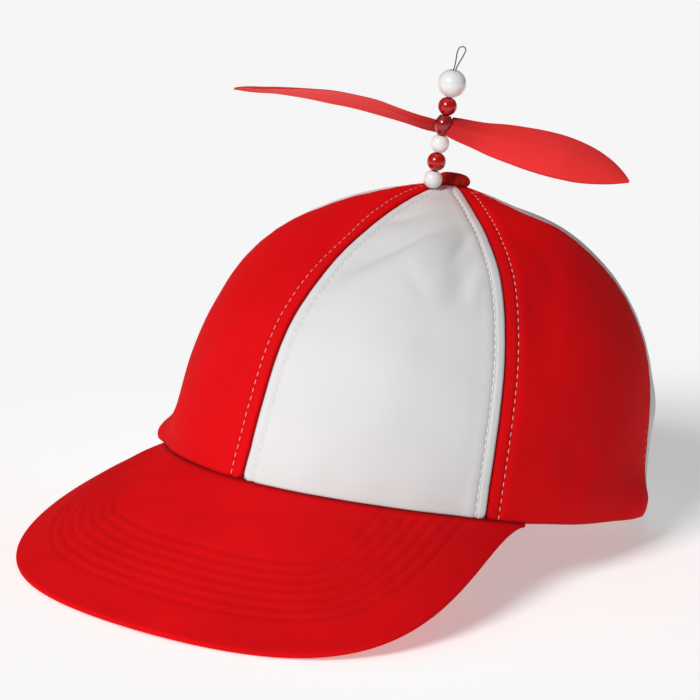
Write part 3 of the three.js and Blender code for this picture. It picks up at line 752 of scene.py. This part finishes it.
def gore_grid(gore):
    """Outer and inner faces of one gore, with the lengths across and up it."""
    _, first, last, first_bow, last_bow, cloth = gore
    across = edge_spaced(GORE_COLUMNS, COLUMN_EVENNESS)[None, :]
    rows = np.linspace(0, 1, GORE_ROWS)
    up = (0.35 * rows**2 + 0.65 * rows)[:, None]
    bow = SEAM_BOW * DEGREE * np.sin(HALF_TURN * up)
    start = first * DEGREE + first_bow * bow
    end = last * DEGREE + last_bow * bow
    plain = start + (end - start) * across
    low = np.arcsin(rim_seat(plain) / CROWN_HEIGHT)
    rise = low + (math.acos(2 * TIP_RADIUS / RIM_WIDTH) - low) * up
    edge = crown_point(plain, rise)
    plan = np.hypot(edge[..., 0], edge[..., 1])
    azimuth = plain + GORE_GAP / 2 / plan * (1 - 2 * across)
    base = crown_point(azimuth, rise)
    normal = crown_normal(azimuth, rise)
    fade = 1 - smooth_step(0.8, 0.97, up)
    belly = np.sin(HALF_TURN * across)
    pillow = PILLOW_HEIGHT * smooth_step(0, 0.08, up) * (belly - PILLOW_MEAN)
    slack = 1 - SEAM_STIFFNESS * (1 - belly) ** 4
    radius = np.hypot(base[..., 0], base[..., 1])
    up_all = np.broadcast_to(up, plain.shape)
    fold = fold_lift(FOLDS, azimuth, up_all, radius)
    crease = fold_lift(CREASES, azimuth, up_all, radius)
    base = base + normal * ((pillow + fold * slack) * fade)[..., None]
    inner = base - normal * CLOTH_WALL
    inner[0, :, 2] = base[0, :, 2]

    from_first = lengths_along(base, 1)
    whole = from_first[:, -1:]
    beside = np.minimum(from_first, whole - from_first)
    from_rim = lengths_along(base, 0)

    line = np.minimum(STITCH_OFFSET[cloth], 0.34 * whole)
    narrow = line / STITCH_OFFSET[cloth]
    pucker_way = from_rim + 40 * (from_first > whole / 2)
    pucker = np.sin(pucker_way / 1.25 + 1.4 * np.sin(pucker_way / 7.3)) \
        + 0.6 * np.sin(pucker_way / 2.9 + first)
    ridge = smooth_step(0, 0.35, beside / line) * (1 - smooth_step(0.75, 1, beside / line))
    groove = SEAM_GROOVE * bump_at(beside, line, 0.15 * line)
    puff = SEAM_PUFF * bump_at(beside, 1.6 * line, 0.5 * line)
    waves = ripples(base, first + 3, CLOTH_WAVES, 16, 46)
    detail = (EDGE_RIDGE * ridge - groove + puff) * narrow
    detail += SEAM_PUCKER * pucker * bump_at(beside, 1.05 * line, 1.1 * line) * narrow
    detail += CLOTH_WAVE_HEIGHT * waves * smooth_step(2, 12, beside)
    detail += crease * fade * smooth_step(1.5, 9, beside)
    detail += HEM_PUFF * bump_at(from_rim, HEM_HEIGHT, HEM_WIDTH) * smooth_step(2, 8, beside)
    corner = CORNER_RADIUS - np.hypot(CORNER_RADIUS - beside, CORNER_RADIUS - from_rim)
    in_corner = (beside < CORNER_RADIUS) & (from_rim < CORNER_RADIUS)
    edge_gap = np.where(in_corner, corner, np.minimum(beside, from_rim))
    drop = np.minimum(rounded_drop(np.maximum(edge_gap, 0), SEAM_ROLL), 0.94 * CLOTH_WALL)
    outer = base + normal * (detail - drop)[..., None]
    # Painted shade: darker along the seams and the lower edge, and in each stitch groove
    painted_shade = SEAM_SHADE * bump_at(np.maximum(edge_gap, 0), 0, SEAM_SHADE_WIDTH)
    painted_shade += GROOVE_SHADE * bump_at(beside, line, 0.16 * line)
    uv = np.stack([(from_first - whole / 2) / 1000, from_rim / 1000], axis=-1)
    return outer, inner, uv, painted_shade, from_first, whole, line


def read_along(at, keys, vectors):
    return np.stack([np.interp(at, keys, vectors[:, k]) for k in range(3)], axis=-1)


def stitch_places(path, outs, start_gap):
    """Stitch middles, ways and outward ways at even steps along a sewn line."""
    length = lengths_along(path, 0)
    spots = np.arange(start_gap, length[-1] - 1, STITCH_PITCH)
    ahead = read_along(spots + 0.8, length, path)
    behind = read_along(spots - 0.8, length, path)
    out = unit(read_along(spots, length, outs))
    return read_along(spots, length, path), unit(ahead - behind), out


def grid_normals(grid):
    along = np.gradient(grid, axis=1)
    up = np.gradient(grid, axis=0)
    return unit(np.cross(along, up))


for gore in GORES:
    node, colour = gore[0], gore[5]
    outer, inner, uv, painted_shade, from_first, whole, line = gore_grid(gore)
    piece = cloth_shell(node + "_cloth", outer, inner, uv, painted_shade,
                        shell_faces(GORE_ROWS, GORE_COLUMNS),
                        WHITE_CLOTH if colour == "white" else RED_CLOTH)
    dress(piece, "cap", "cloth_" + colour, node)
    normals = grid_normals(outer)
    for side in (0, 1):
        wanted = line[:, 0] if side == 0 else (whole - line)[:, 0]
        path, outs = [], []
        for j in range(GORE_ROWS):
            if whole[j, 0] < NARROWEST_SEWN:
                break
            path.append(read_along(wanted[j], from_first[j], outer[j]))
            outs.append(read_along(wanted[j], from_first[j], normals[j]))
        sewn[colour].append(stitch_places(np.array(path), np.array(outs), 2.2 + 0.7 * side))


# The stitches

def stitch_tree(name):
    """A sewn stitch on each point, lying along its run and standing out by its width."""
    tree = bpy.data.node_groups.new(name, "GeometryNodeTree")
    tree.interface.new_socket(name="Geometry", in_out="INPUT", socket_type="NodeSocketGeometry")
    length = tree.interface.new_socket(name="Stitch length", in_out="INPUT",
                                       socket_type="NodeSocketFloat")
    width = tree.interface.new_socket(name="Stitch width", in_out="INPUT",
                                      socket_type="NodeSocketFloat")
    thread = tree.interface.new_socket(name="Thread", in_out="INPUT",
                                       socket_type="NodeSocketMaterial")
    tree.interface.new_socket(name="Geometry", in_out="OUTPUT", socket_type="NodeSocketGeometry")
    nodes, links = tree.nodes, tree.links
    entry = nodes.new("NodeGroupInput")
    leave = nodes.new("NodeGroupOutput")
    loop = nodes.new("GeometryNodeMeshUVSphere")
    loop.inputs["Segments"].default_value = 8
    loop.inputs["Rings"].default_value = 6
    loop.inputs["Radius"].default_value = 0.5
    size = nodes.new("ShaderNodeCombineXYZ")
    links.new(entry.outputs["Stitch length"], size.inputs[0])
    links.new(entry.outputs["Stitch width"], size.inputs[1])
    links.new(entry.outputs["Stitch width"], size.inputs[2])
    shape = nodes.new("GeometryNodeTransform")
    links.new(loop.outputs["Mesh"], shape.inputs["Geometry"])
    links.new(size.outputs[0], shape.inputs["Scale"])
    ways = []
    for label in ("run", "out"):
        way = nodes.new("GeometryNodeInputNamedAttribute")
        way.data_type = "FLOAT_VECTOR"
        way.inputs["Name"].default_value = label
        ways.append(way)
    lie = nodes.new("FunctionNodeAlignRotationToVector")
    lie.axis = "X"
    links.new(ways[0].outputs["Attribute"], lie.inputs["Vector"])
    stand = nodes.new("FunctionNodeAlignRotationToVector")
    stand.axis = "Z"
    stand.pivot_axis = "X"
    links.new(lie.outputs[0], stand.inputs["Rotation"])
    links.new(ways[1].outputs["Attribute"], stand.inputs["Vector"])
    spread = nodes.new("GeometryNodeInstanceOnPoints")
    links.new(entry.outputs["Geometry"], spread.inputs["Points"])
    links.new(shape.outputs["Geometry"], spread.inputs["Instance"])
    links.new(stand.outputs[0], spread.inputs["Rotation"])
    real = nodes.new("GeometryNodeRealizeInstances")
    links.new(spread.outputs[0], real.inputs[0])
    finish = nodes.new("GeometryNodeSetMaterial")
    links.new(real.outputs[0], finish.inputs["Geometry"])
    links.new(entry.outputs["Thread"], finish.inputs["Material"])
    links.new(finish.outputs[0], leave.inputs[0])
    return tree, length.identifier, width.identifier, thread.identifier


STITCHES, LENGTH_ID, WIDTH_ID, THREAD_ID = stitch_tree("topstitch")


def sewn_piece(name, points, runs, outs, length, width, material):
    """One mesh of all the stitches on a set of points."""
    mesh = bpy.data.meshes.new(name + "_points")
    mesh.from_pydata([tuple(p) for p in placed(points)], [], [])
    for label, values in (("run", turned_way(runs)), ("out", turned_way(outs))):
        way = mesh.attributes.new(label, "FLOAT_VECTOR", "POINT")
        way.data.foreach_set("vector", np.asarray(values, np.float32).ravel())
    holder = scene_object(name + "_points", mesh)
    modifier = holder.modifiers.new("topstitch", "NODES")
    modifier.node_group = STITCHES
    modifier[LENGTH_ID] = length / 1000
    modifier[WIDTH_ID] = width / 1000
    modifier[THREAD_ID] = material
    evaluated = holder.evaluated_get(bpy.context.evaluated_depsgraph_get())
    result = bpy.data.meshes.new_from_object(evaluated)
    result.name = name
    for label in ("run", "out"):
        if label in result.attributes:
            result.attributes.remove(result.attributes[label])
    result.polygons.foreach_set("use_smooth", [True] * len(result.polygons))
    bpy.data.objects.remove(holder)
    return scene_object(name, result)


for cloth, thread in (("white", WHITE_THREAD), ("red", PALE_THREAD)):
    middles, runs, outs = (np.concatenate(column) for column in zip(*sewn[cloth]))
    seams_sewn = sewn_piece("seam_stitches_on_" + cloth, middles + STITCH_LIFT * outs, runs, outs,
                            STITCH_LENGTH, STITCH_WIDTH[cloth], thread)
    dress(seams_sewn, "cap", "cloth_white")


# The peak

PEAK_GRID_ROWS = 150
PEAK_GRID_COLUMNS = 240


def peak_depth_at(share):
    sweep = np.maximum(np.cos(HALF_TURN / 2 * np.abs(share)), 0) ** PEAK_SWEEP
    return PEAK_END_DEPTH + (PEAK_DEPTH - PEAK_END_DEPTH) * sweep


def peak_point(share, out):
    azimuth = share * PEAK_HALF_ANGLE
    depth = peak_depth_at(share)
    x = RIM_WIDTH / 2 * np.sin(azimuth) + depth * PEAK_FLARE * np.sin(azimuth) * out
    y = -RIM_LENGTH / 2 * np.cos(azimuth) - depth * out
    arch = PEAK_ARCH * x**2 * out * np.sqrt(depth / PEAK_DEPTH)
    drop = depth * out * math.tan(PEAK_SLOPE) + arch
    return np.stack([x, y, peak_thickness(share) - drop], axis=-1)


def peak_normal(share, out):
    step = 0.002
    centre = np.clip(share, step - 1, 1 - step)
    near = np.maximum(out - step, 0)
    along = peak_point(centre + step, out) - peak_point(centre - step, out)
    outward = peak_point(centre, near + step) - peak_point(centre, near)
    return unit(np.cross(outward, along))


def peak_piece():
    """The peak's cloth, with a groove along each sewn row, and the rows' paths."""
    share = np.sin(np.linspace(-1, 1, PEAK_GRID_COLUMNS) * 0.42 * HALF_TURN) \
        / math.sin(0.42 * HALF_TURN)
    rows = np.linspace(0, 1, PEAK_GRID_ROWS)
    out = 1 - (1 - rows) ** 1.35
    share, out = np.meshgrid(share, out)
    top = peak_point(share, out)
    normal = peak_normal(share, out)
    from_seam = lengths_along(top, 0)
    edge = top[-1]
    nearest = np.empty(share.shape)
    for j in range(PEAK_GRID_ROWS):
        gaps = np.linalg.norm(top[j][:, None, :] - edge[None, :, :], axis=-1)
        nearest[j] = gaps.min(axis=1)
    thickness = peak_thickness(share)
    half = thickness / 2
    into = np.clip(half - nearest, 0, half)
    lost = half - np.sqrt(np.maximum(half**2 - into**2, 0))

    relief = np.zeros(share.shape)
    painted_shade = np.zeros(share.shape)
    paths = []
    for row in range(PEAK_ROWS):
        at = PEAK_FIRST_ROW + row * PEAK_ROW_PITCH
        relief -= PEAK_GROOVE * bump_at(nearest, at, 1.15)
        # Painted shade along the groove of each sewn row
        painted_shade += PEAK_GROOVE_SHADE * bump_at(nearest, at, 1.0)
    relief += PEAK_WAVE_HEIGHT * ripples(top, 41, PEAK_WAVES, 9, 30)
    pucker = np.sin(share * 95 + 1.6 * np.sin(share * 23))
    sewn_part = smooth_step(12, 15, nearest) * (1 - smooth_step(40, 44, nearest))
    relief += PEAK_PUCKER * pucker * sewn_part
    relief *= smooth_step(0.8, 5, from_seam) * smooth_step(0.5, 6, nearest)
    upper = top + normal * (relief - lost)[..., None]
    lower = top - normal * (thickness - lost)[..., None]
    flat = normal.copy()
    flat[0] = unit(normal[0] + np.array([0, 0, 1.0]))
    lower[0] = top[0] - flat[0] * thickness[0][:, None]

    azimuth = share[0] * PEAK_HALF_ANGLE
    inward = unit(np.stack([-np.sin(azimuth) / RIM_WIDTH, np.cos(azimuth) / RIM_LENGTH,
                            np.zeros(len(azimuth))], axis=-1))
    tucked = top[0] + inward * PEAK_TUCK
    upper = np.concatenate([tucked[None], upper])
    lower = np.concatenate([(tucked - np.array([0, 0, 1.0]) * thickness[0][:, None])[None], lower])
    painted_shade = np.concatenate([painted_shade[:1], painted_shade])
    seam_side = np.concatenate([[np.full(PEAK_GRID_COLUMNS, -1.0)], from_seam])
    # Painted shadow along the join, where the peak runs in under the crown
    painted_shade += PEAK_SEAM_SHADE * bump_at(np.maximum(seam_side, 0), 0, PEAK_SEAM_SHADE_WIDTH)

    # Sewn lines: where the distance from the edge equals each row's.
    normals = grid_normals(upper[1:])
    normals *= np.sign((normals * normal).sum(axis=-1, keepdims=True))
    for row in range(PEAK_ROWS):
        at = PEAK_FIRST_ROW + row * PEAK_ROW_PITCH
        path, outs = [], []
        for i in range(PEAK_GRID_COLUMNS):
            column = nearest[::-1, i]
            if column.max() < at + 0.4 or from_seam[-1, i] < at:
                if path:
                    paths.append((np.array(path), np.array(outs)))
                    path, outs = [], []
                continue
            first = int(np.argmax(column >= at))
            t = (at - column[first - 1]) / (column[first] - column[first - 1])
            spot = PEAK_GRID_ROWS - 1 - (first - 1 + t)
            k = int(spot)
            f = spot - k
            a, b = upper[1 + k, i], upper[min(2 + k, PEAK_GRID_ROWS), i]
            path.append(a + (b - a) * f)
            outs.append(normals[k, i])
        if path:
            paths.append((np.array(path), np.array(outs)))

    along = lengths_along(top, 1)
    along -= along[:, PEAK_GRID_COLUMNS // 2][:, None]
    along = np.concatenate([along[:1], along])
    uv = np.stack([along / 1000, np.maximum(seam_side, -1) / 1000], axis=-1)
    faces = shell_faces(PEAK_GRID_ROWS + 1, PEAK_GRID_COLUMNS)[:, ::-1]
    return cloth_shell("peak_cloth", upper, lower, uv, painted_shade, faces, PEAK_CLOTH), paths


peak, peak_paths = peak_piece()
dress(peak, "cap", "cloth_red", "peak")
peak_sets = [stitch_places(path, outs, 1.5) for path, outs in peak_paths if len(path) > 3]
middles, runs, outs = (np.concatenate(column) for column in zip(*peak_sets))
peak_sewn = sewn_piece("peak_stitches", middles - PEAK_STITCH_SINK * outs, runs, outs,
                       PEAK_STITCH_LENGTH, PEAK_STITCH_WIDTH, RED_THREAD)
dress(peak_sewn, "cap", "cloth_red")


# The button

def crown_top_at(radius):
    """The cloth's highest outside and lowest inside, on a circle round the top."""
    outside, inside = [], []
    for turn in range(0, 360, 15):
        azimuth, rise = crown_angles(radius * math.sin(turn * DEGREE),
                                     -radius * math.cos(turn * DEGREE))
        p = crown_point(azimuth, rise)
        outside.append(p[2])
        inside.append((p - crown_normal(azimuth, rise) * CLOTH_WALL)[2])
    return max(outside), min(inside)


def button_piece():
    """A padded disc of gathered cloth on a shank, with its rivet under the crown."""
    rivet_top = crown_top_at(RIVET_RADIUS)[1] - CLEARANCE
    seat = crown_top_at(BUTTON_RADIUS)[0] + CLEARANCE
    crest = CROWN_HEIGHT + BUTTON_HEIGHT
    hollow_edge = 0.62 * BUTTON_RADIUS
    profile = [(RIVET_RADIUS - 0.2, rivet_top - RIVET_THICKNESS),
               (RIVET_RADIUS, rivet_top - RIVET_THICKNESS / 2),
               (RIVET_RADIUS - 0.1, rivet_top),
               (BUTTON_SHANK, rivet_top),
               (BUTTON_SHANK, crown_top_at(BUTTON_SHANK)[0] + CLEARANCE),
               (hollow_edge, crown_top_at(hollow_edge)[0] + CLEARANCE),
               (0.9 * BUTTON_RADIUS, seat - 0.05)]
    shoulder = seat + 0.35 * (crest - seat)
    for turn in np.linspace(-0.45, 1, 22):
        angle = turn * HALF_TURN / 2
        out = BUTTON_RADIUS * max(math.cos(angle), 0) ** 0.6
        rise = (crest - shoulder) * math.sin(angle) if angle > 0 \
            else (shoulder - seat) * math.sin(angle) / math.sin(0.45 * HALF_TURN / 2)
        profile.append((max(out, 0.12), shoulder + rise))
    sides = 72
    rings, faces = lathe(profile, sides)
    angle = np.arctan2(rings[..., 1], rings[..., 0])
    radius = np.hypot(rings[..., 0], rings[..., 1])
    rim = smooth_step(0.55, 0.95, radius / BUTTON_RADIUS) * (rings[..., 2] > seat - 0.02)
    gather = np.sin(14 * angle + 0.8 * np.sin(3 * angle)) * rim
    rings[..., :2] *= (1 + BUTTON_GATHER * gather)[..., None]
    # Painted shade in the valleys of the gathered rim
    painted_shade = np.concatenate([(0.12 * (1 - gather) * rim).ravel(), [0, 0]])
    points, faces = capped(rings, faces, (0, 0, profile[0][1]), (0, 0, crest), len(profile), sides)
    uv = points[:, :2] / 1000
    return mesh_piece("button_cloth_cover", placed(points), faces, BUTTON_CLOTH, uv=uv,
                      masks={"painted_shade": painted_shade})


dress(button_piece(), "cap", "button_cloth", "button")


# The beads

def bead_piece(name, node, radius, material, slot):
    """A round bead whose drilled hole has a small rounded lip."""
    edge = math.asin(BEAD_HOLE / radius)
    turns = np.linspace(edge * 1.12, HALF_TURN - edge * 1.12, 26)
    profile = [(radius * math.sin(t), -radius * math.cos(t)) for t in turns]
    lip = profile[-1][1] - 0.12
    profile += [(BEAD_HOLE, lip), (BEAD_HOLE, -lip)]
    sides = 48
    rings, _ = lathe(profile, sides)
    rings[..., 2] += stack_heights[node]
    rows = len(profile)
    loop = np.concatenate([rings, rings[:1]])
    faces = grid_faces(rows + 1, sides, around=True) % (rows * sides)
    points = placed(on_wire(loop[:-1].reshape(-1, 3)))
    return dress(mesh_piece(name, points, faces, material), "cap", slot, node)


for node, radius in (("bead_base_white", SMALL_BEAD), ("bead_lower_red", SMALL_BEAD),
                     ("bead_middle_white", SMALL_BEAD), ("bead_upper_red", SMALL_BEAD),
                     ("bead_top_white", LARGE_BEAD)):
    red = node.endswith("red")
    bead_piece(node + "_plastic", node, radius, RED_BEAD if red else WHITE_BEAD,
               "bead_red" if red else "bead_white")


# The propeller

def blade_points(reach, pitch_column, droop_column):
    """A thin cambered blade along +X, round at its edges, that twists and droops."""
    place = 0.03 + 0.97 * np.sin(np.linspace(0, 1, 72) * HALF_TURN / 2) ** 0.9
    chord = np.maximum(table_value(BLADE_SECTIONS, 1, place), 0.03)[:, None] * BLADE_CHORD
    pitch = table_value(BLADE_SECTIONS, pitch_column, place)[:, None] * DEGREE
    droop = table_value(BLADE_SECTIONS, droop_column, place)[:, None] * reach
    around = np.linspace(0, 2 * HALF_TURN, 36, endpoint=False)[None, :]
    station = 0.5 * np.cos(around)
    crown = BLADE_CAMBER * chord * (1 - 4 * station**2)
    rib = 1 + 0.9 * np.exp(-(station / 0.09) ** 2) * (1 - smooth_step(0.2, 0.6, place))[:, None]
    half = BLADE_THICKNESS / 2 * (1 - 2 * station**2) * rib
    level = crown + half * np.sign(np.sin(around)) * np.abs(np.sin(around)) ** 0.45
    c, s = np.cos(pitch), np.sin(pitch)
    return np.stack([np.broadcast_to(place[:, None] * reach, level.shape),
                     station * chord * c - level * s,
                     station * chord * s + level * c - droop], axis=-1)


def propeller_piece():
    """Both blades, run into the hub."""
    points, faces, rims = [], [], []
    count = 0
    for reach, turn, pitch_column, droop_column in ((SHORT_REACH, 0.0, 2, 3),
                                                    (LONG_REACH, HALF_TURN, 4, 5)):
        blade = spun(blade_points(reach, pitch_column, droop_column), turn)
        rows, sides = blade.shape[:2]
        quads = grid_faces(rows, sides, around=True)
        ends = (blade[0].mean(axis=0), blade[-1].mean(axis=0))
        # Painted shade along each blade's edges
        beside = np.abs(np.cos(np.arange(sides) * 2 * HALF_TURN / sides))
        rim = np.broadcast_to(BLADE_RIM_SHADE * smooth_step(0.95, 1, beside), (rows, sides))
        rims.append(np.concatenate([rim.ravel(), [0, BLADE_RIM_SHADE]]))
        body, tris = capped(blade, quads, ends[0], ends[1], rows, sides)
        points.append(body)
        faces += [tuple(int(k) + count for k in face) for face in tris]
        count += len(body)
    points = np.concatenate(points)
    # Painted shade near the hub, where the blades run into it, and darker towards the tips
    root = np.abs(points[:, 0]) / LONG_REACH
    painted_shade = 0.5 * np.exp(-(root / 0.2) ** 2) + 0.2 * smooth_step(0.85, 1, root)
    painted_shade = np.maximum(painted_shade, np.concatenate(rims))
    points[:, 2] += stack_heights["propeller"]
    return mesh_piece("propeller_blades", placed(on_wire(points, PROPELLER_TURN)), faces,
                      BLADE_PLASTIC, masks={"painted_shade": painted_shade})


def hub_piece():
    half = HUB_HEIGHT / 2
    profile = [(HUB_END_RADIUS - 0.25, -half), (HUB_END_RADIUS, -half + 0.25),
               (HUB_END_RADIUS + 0.1, -0.8 * half), (2.75, -0.62 * half), (3.15, -0.38 * half),
               (HUB_RADIUS, -0.15 * half), (HUB_RADIUS, 0.2 * half), (3.2, 0.4 * half),
               (2.8, 0.62 * half), (HUB_END_RADIUS + 0.15, 0.8 * half),
               (HUB_END_RADIUS, half - 0.25), (HUB_END_RADIUS - 0.25, half),
               (HUB_BORE, half), (HUB_BORE, -half)]
    sides = 48
    rings, _ = lathe(profile, sides)
    quads = grid_faces(len(profile) + 1, sides, around=True) % (len(profile) * sides)
    rings[..., 2] += stack_heights["propeller"]
    points = placed(on_wire(rings.reshape(-1, 3), PROPELLER_TURN))
    return mesh_piece("propeller_hub", points, quads, HUB_PLASTIC)


dress(propeller_piece(), "propeller", "blade_plastic", "propeller")
dress(hub_piece(), "propeller", "bead_red")


# The wire

def rod(points, radius, sides):
    """A round rod through points, with its ends closed."""
    points = np.asarray(points, float)
    tangents = unit(np.gradient(points, axis=0))
    side = np.array([0.0, 1.0, 0.0])
    rings = []
    for p, t in zip(points, tangents):
        side = unit(side - t * (side @ t))
        other = np.cross(t, side)
        angles = np.arange(sides) * 2 * HALF_TURN / sides
        rings.append(p + radius * (np.cos(angles)[:, None] * side + np.sin(angles)[:, None] * other))
    rings = np.array(rings)
    faces = grid_faces(len(points), sides, around=True)
    return capped(rings, faces, points[0], points[-1], len(points), sides)


def tail_spot(distance):
    """A point under the cloth, at a distance from the wire's axis, in the wire's axes."""
    p = on_wire([distance, 0, 0], LOOP_TURN)
    azimuth, rise = crown_angles(p[0], p[1])
    depth = CLOTH_WALL + 1.5 * CLEARANCE + WIRE_RADIUS
    surface = crown_point(azimuth, rise) - crown_normal(azimuth, rise) * depth - wire_foot
    spot = np.array([surface @ wire_side, surface @ wire_front, surface @ wire_axis])
    return spun(spot, -LOOP_TURN)


def wire_half(sign):
    """One leg of the hairpin, from its tail up to its loop, and the loop's crest."""
    leg = WIRE_RADIUS + CLEARANCE / 2
    bend = LOOP_WIDTH / 2 - WIRE_RADIUS
    under = -CLOTH_WALL - CLEARANCE / 2
    centre = loop_start + LOOP_HEIGHT - bend - WIRE_RADIUS
    points = [tail_spot(sign * share * TAIL_LENGTH) for share in (1, 0.85, 0.7, 0.55, 0.4)]
    points.append([sign * (leg + WIRE_RADIUS), 0, under - 1.6 * WIRE_RADIUS])
    points.append([sign * leg, 0, under])
    for share in np.linspace(0.1, 1, 10):
        points.append([sign * leg, 0, under + (loop_start - under) * share])
    for share in np.linspace(0.15, 0.9, 6):
        wide = leg + (bend - leg) * (0.5 - 0.5 * math.cos(HALF_TURN * share))
        points.append([sign * wide, 0, loop_start + (centre - loop_start) * share])
    for turn in np.linspace(0, HALF_TURN / 2, 9)[:-1]:
        points.append([sign * bend * math.cos(turn), 0, centre + bend * math.sin(turn)])
    return points, [0, 0, centre + bend]


first_half, crest_point = wire_half(1)
second_half, _ = wire_half(-1)
hairpin = np.array(first_half + [crest_point] + second_half[::-1])
hairpin[:, 0] += math.tan(LOOP_LEAN) * np.maximum(hairpin[:, 2] - loop_start, 0)
wire_points, wire_faces = rod(hairpin, WIRE_RADIUS, 14)
wire = mesh_piece("wire_hairpin", placed(on_wire(wire_points, LOOP_TURN)), wire_faces, STEEL_WIRE)
dress(wire, "cap", "wire_steel", "wire")


# Floor, light and camera

FLOOR_HALF = 6.0
floor_mesh = bpy.data.meshes.new("floor")
floor_mesh.from_pydata([(-FLOOR_HALF, -FLOOR_HALF, 0), (FLOOR_HALF, -FLOOR_HALF, 0),
                        (FLOOR_HALF, FLOOR_HALF, 0), (-FLOOR_HALF, FLOOR_HALF, 0)],
                       [], [(0, 1, 2, 3)])
floor_mesh.materials.append(floor_material("floor_paper", (0.97, 0.97, 0.97)))
floor = scene_object("floor", floor_mesh)
floor.location.z = -0.0005

# Camera axes in the cap's own axes, from the outline of the rim, seams and peak.
CAMERA_BACK = np.array([0.55623505, -0.82374555, 0.10975358])
CAMERA_RIGHT = np.array([0.80874632, 0.56695708, 0.15648984])
CAMERA_UP = np.array([-0.19113338, 0.00171766, 0.98156257])
CAMERA_DISTANCE = 1400.0
CAMERA_TARGET = np.array([0.0, 0.0, 50.0])
PIXELS_PER_MM = 2.742
FRAME_PIXELS = 700
SENSOR_MM = 36.0
TARGET_PIXEL = (427.713, 343.209)

eye = CAMERA_TARGET + CAMERA_DISTANCE * CAMERA_BACK
middle = FRAME_PIXELS / 2
aim = CAMERA_TARGET - CAMERA_RIGHT * (TARGET_PIXEL[0] - middle) / PIXELS_PER_MM \
    + CAMERA_UP * (TARGET_PIXEL[1] - middle) / PIXELS_PER_MM
back = unit(turned_way(eye - aim))
right = unit(np.cross(turned_way(CAMERA_UP), back))
up = np.cross(back, right)

camera_data = bpy.data.cameras.new("camera")
camera_data.sensor_width = SENSOR_MM
camera_data.lens = PIXELS_PER_MM * CAMERA_DISTANCE / FRAME_PIXELS * SENSOR_MM
camera_data.clip_start = 0.05
camera_data.clip_end = 30
camera = scene_object("camera", camera_data)
camera_turn = Matrix([list(right), list(up), list(back)]).transposed().to_4x4()
camera.matrix_world = Matrix.Translation(Vector(placed(eye))) @ camera_turn
bpy.context.scene.camera = camera


def sun_light(name, bearing, height, softness, strength):
    """A soft sun; bearing is degrees to the camera's right of the way it looks from."""
    data = bpy.data.lights.new(name, "SUN")
    data.angle = softness * DEGREE
    data.energy = strength
    light = scene_object(name, data)
    level_back = unit(np.array([back[0], back[1], 0.0]))
    level_right = np.array([-level_back[1], level_back[0], 0.0])
    c, s = math.cos(bearing * DEGREE), math.sin(bearing * DEGREE)
    way = (level_back * c + level_right * s) * math.cos(height * DEGREE)
    way = way + np.array([0, 0, math.sin(height * DEGREE)])
    light.rotation_euler = Vector(way).to_track_quat("Z", "Y").to_euler()
    light.location = way * 2
    return light


sun_light("key_light", -36, 36, 22, 2.3)
sun_light("fill_light", -60, 60, 60, 0.2)

world = bpy.data.worlds.new("studio")
world.use_nodes = True
world.node_tree.nodes["Background"].inputs["Color"].default_value = (1.0, 1.0, 1.0, 1.0)
world.node_tree.nodes["Background"].inputs["Strength"].default_value = 0.11
bpy.context.scene.world = world
bpy.context.scene.view_settings.view_transform = "Standard"
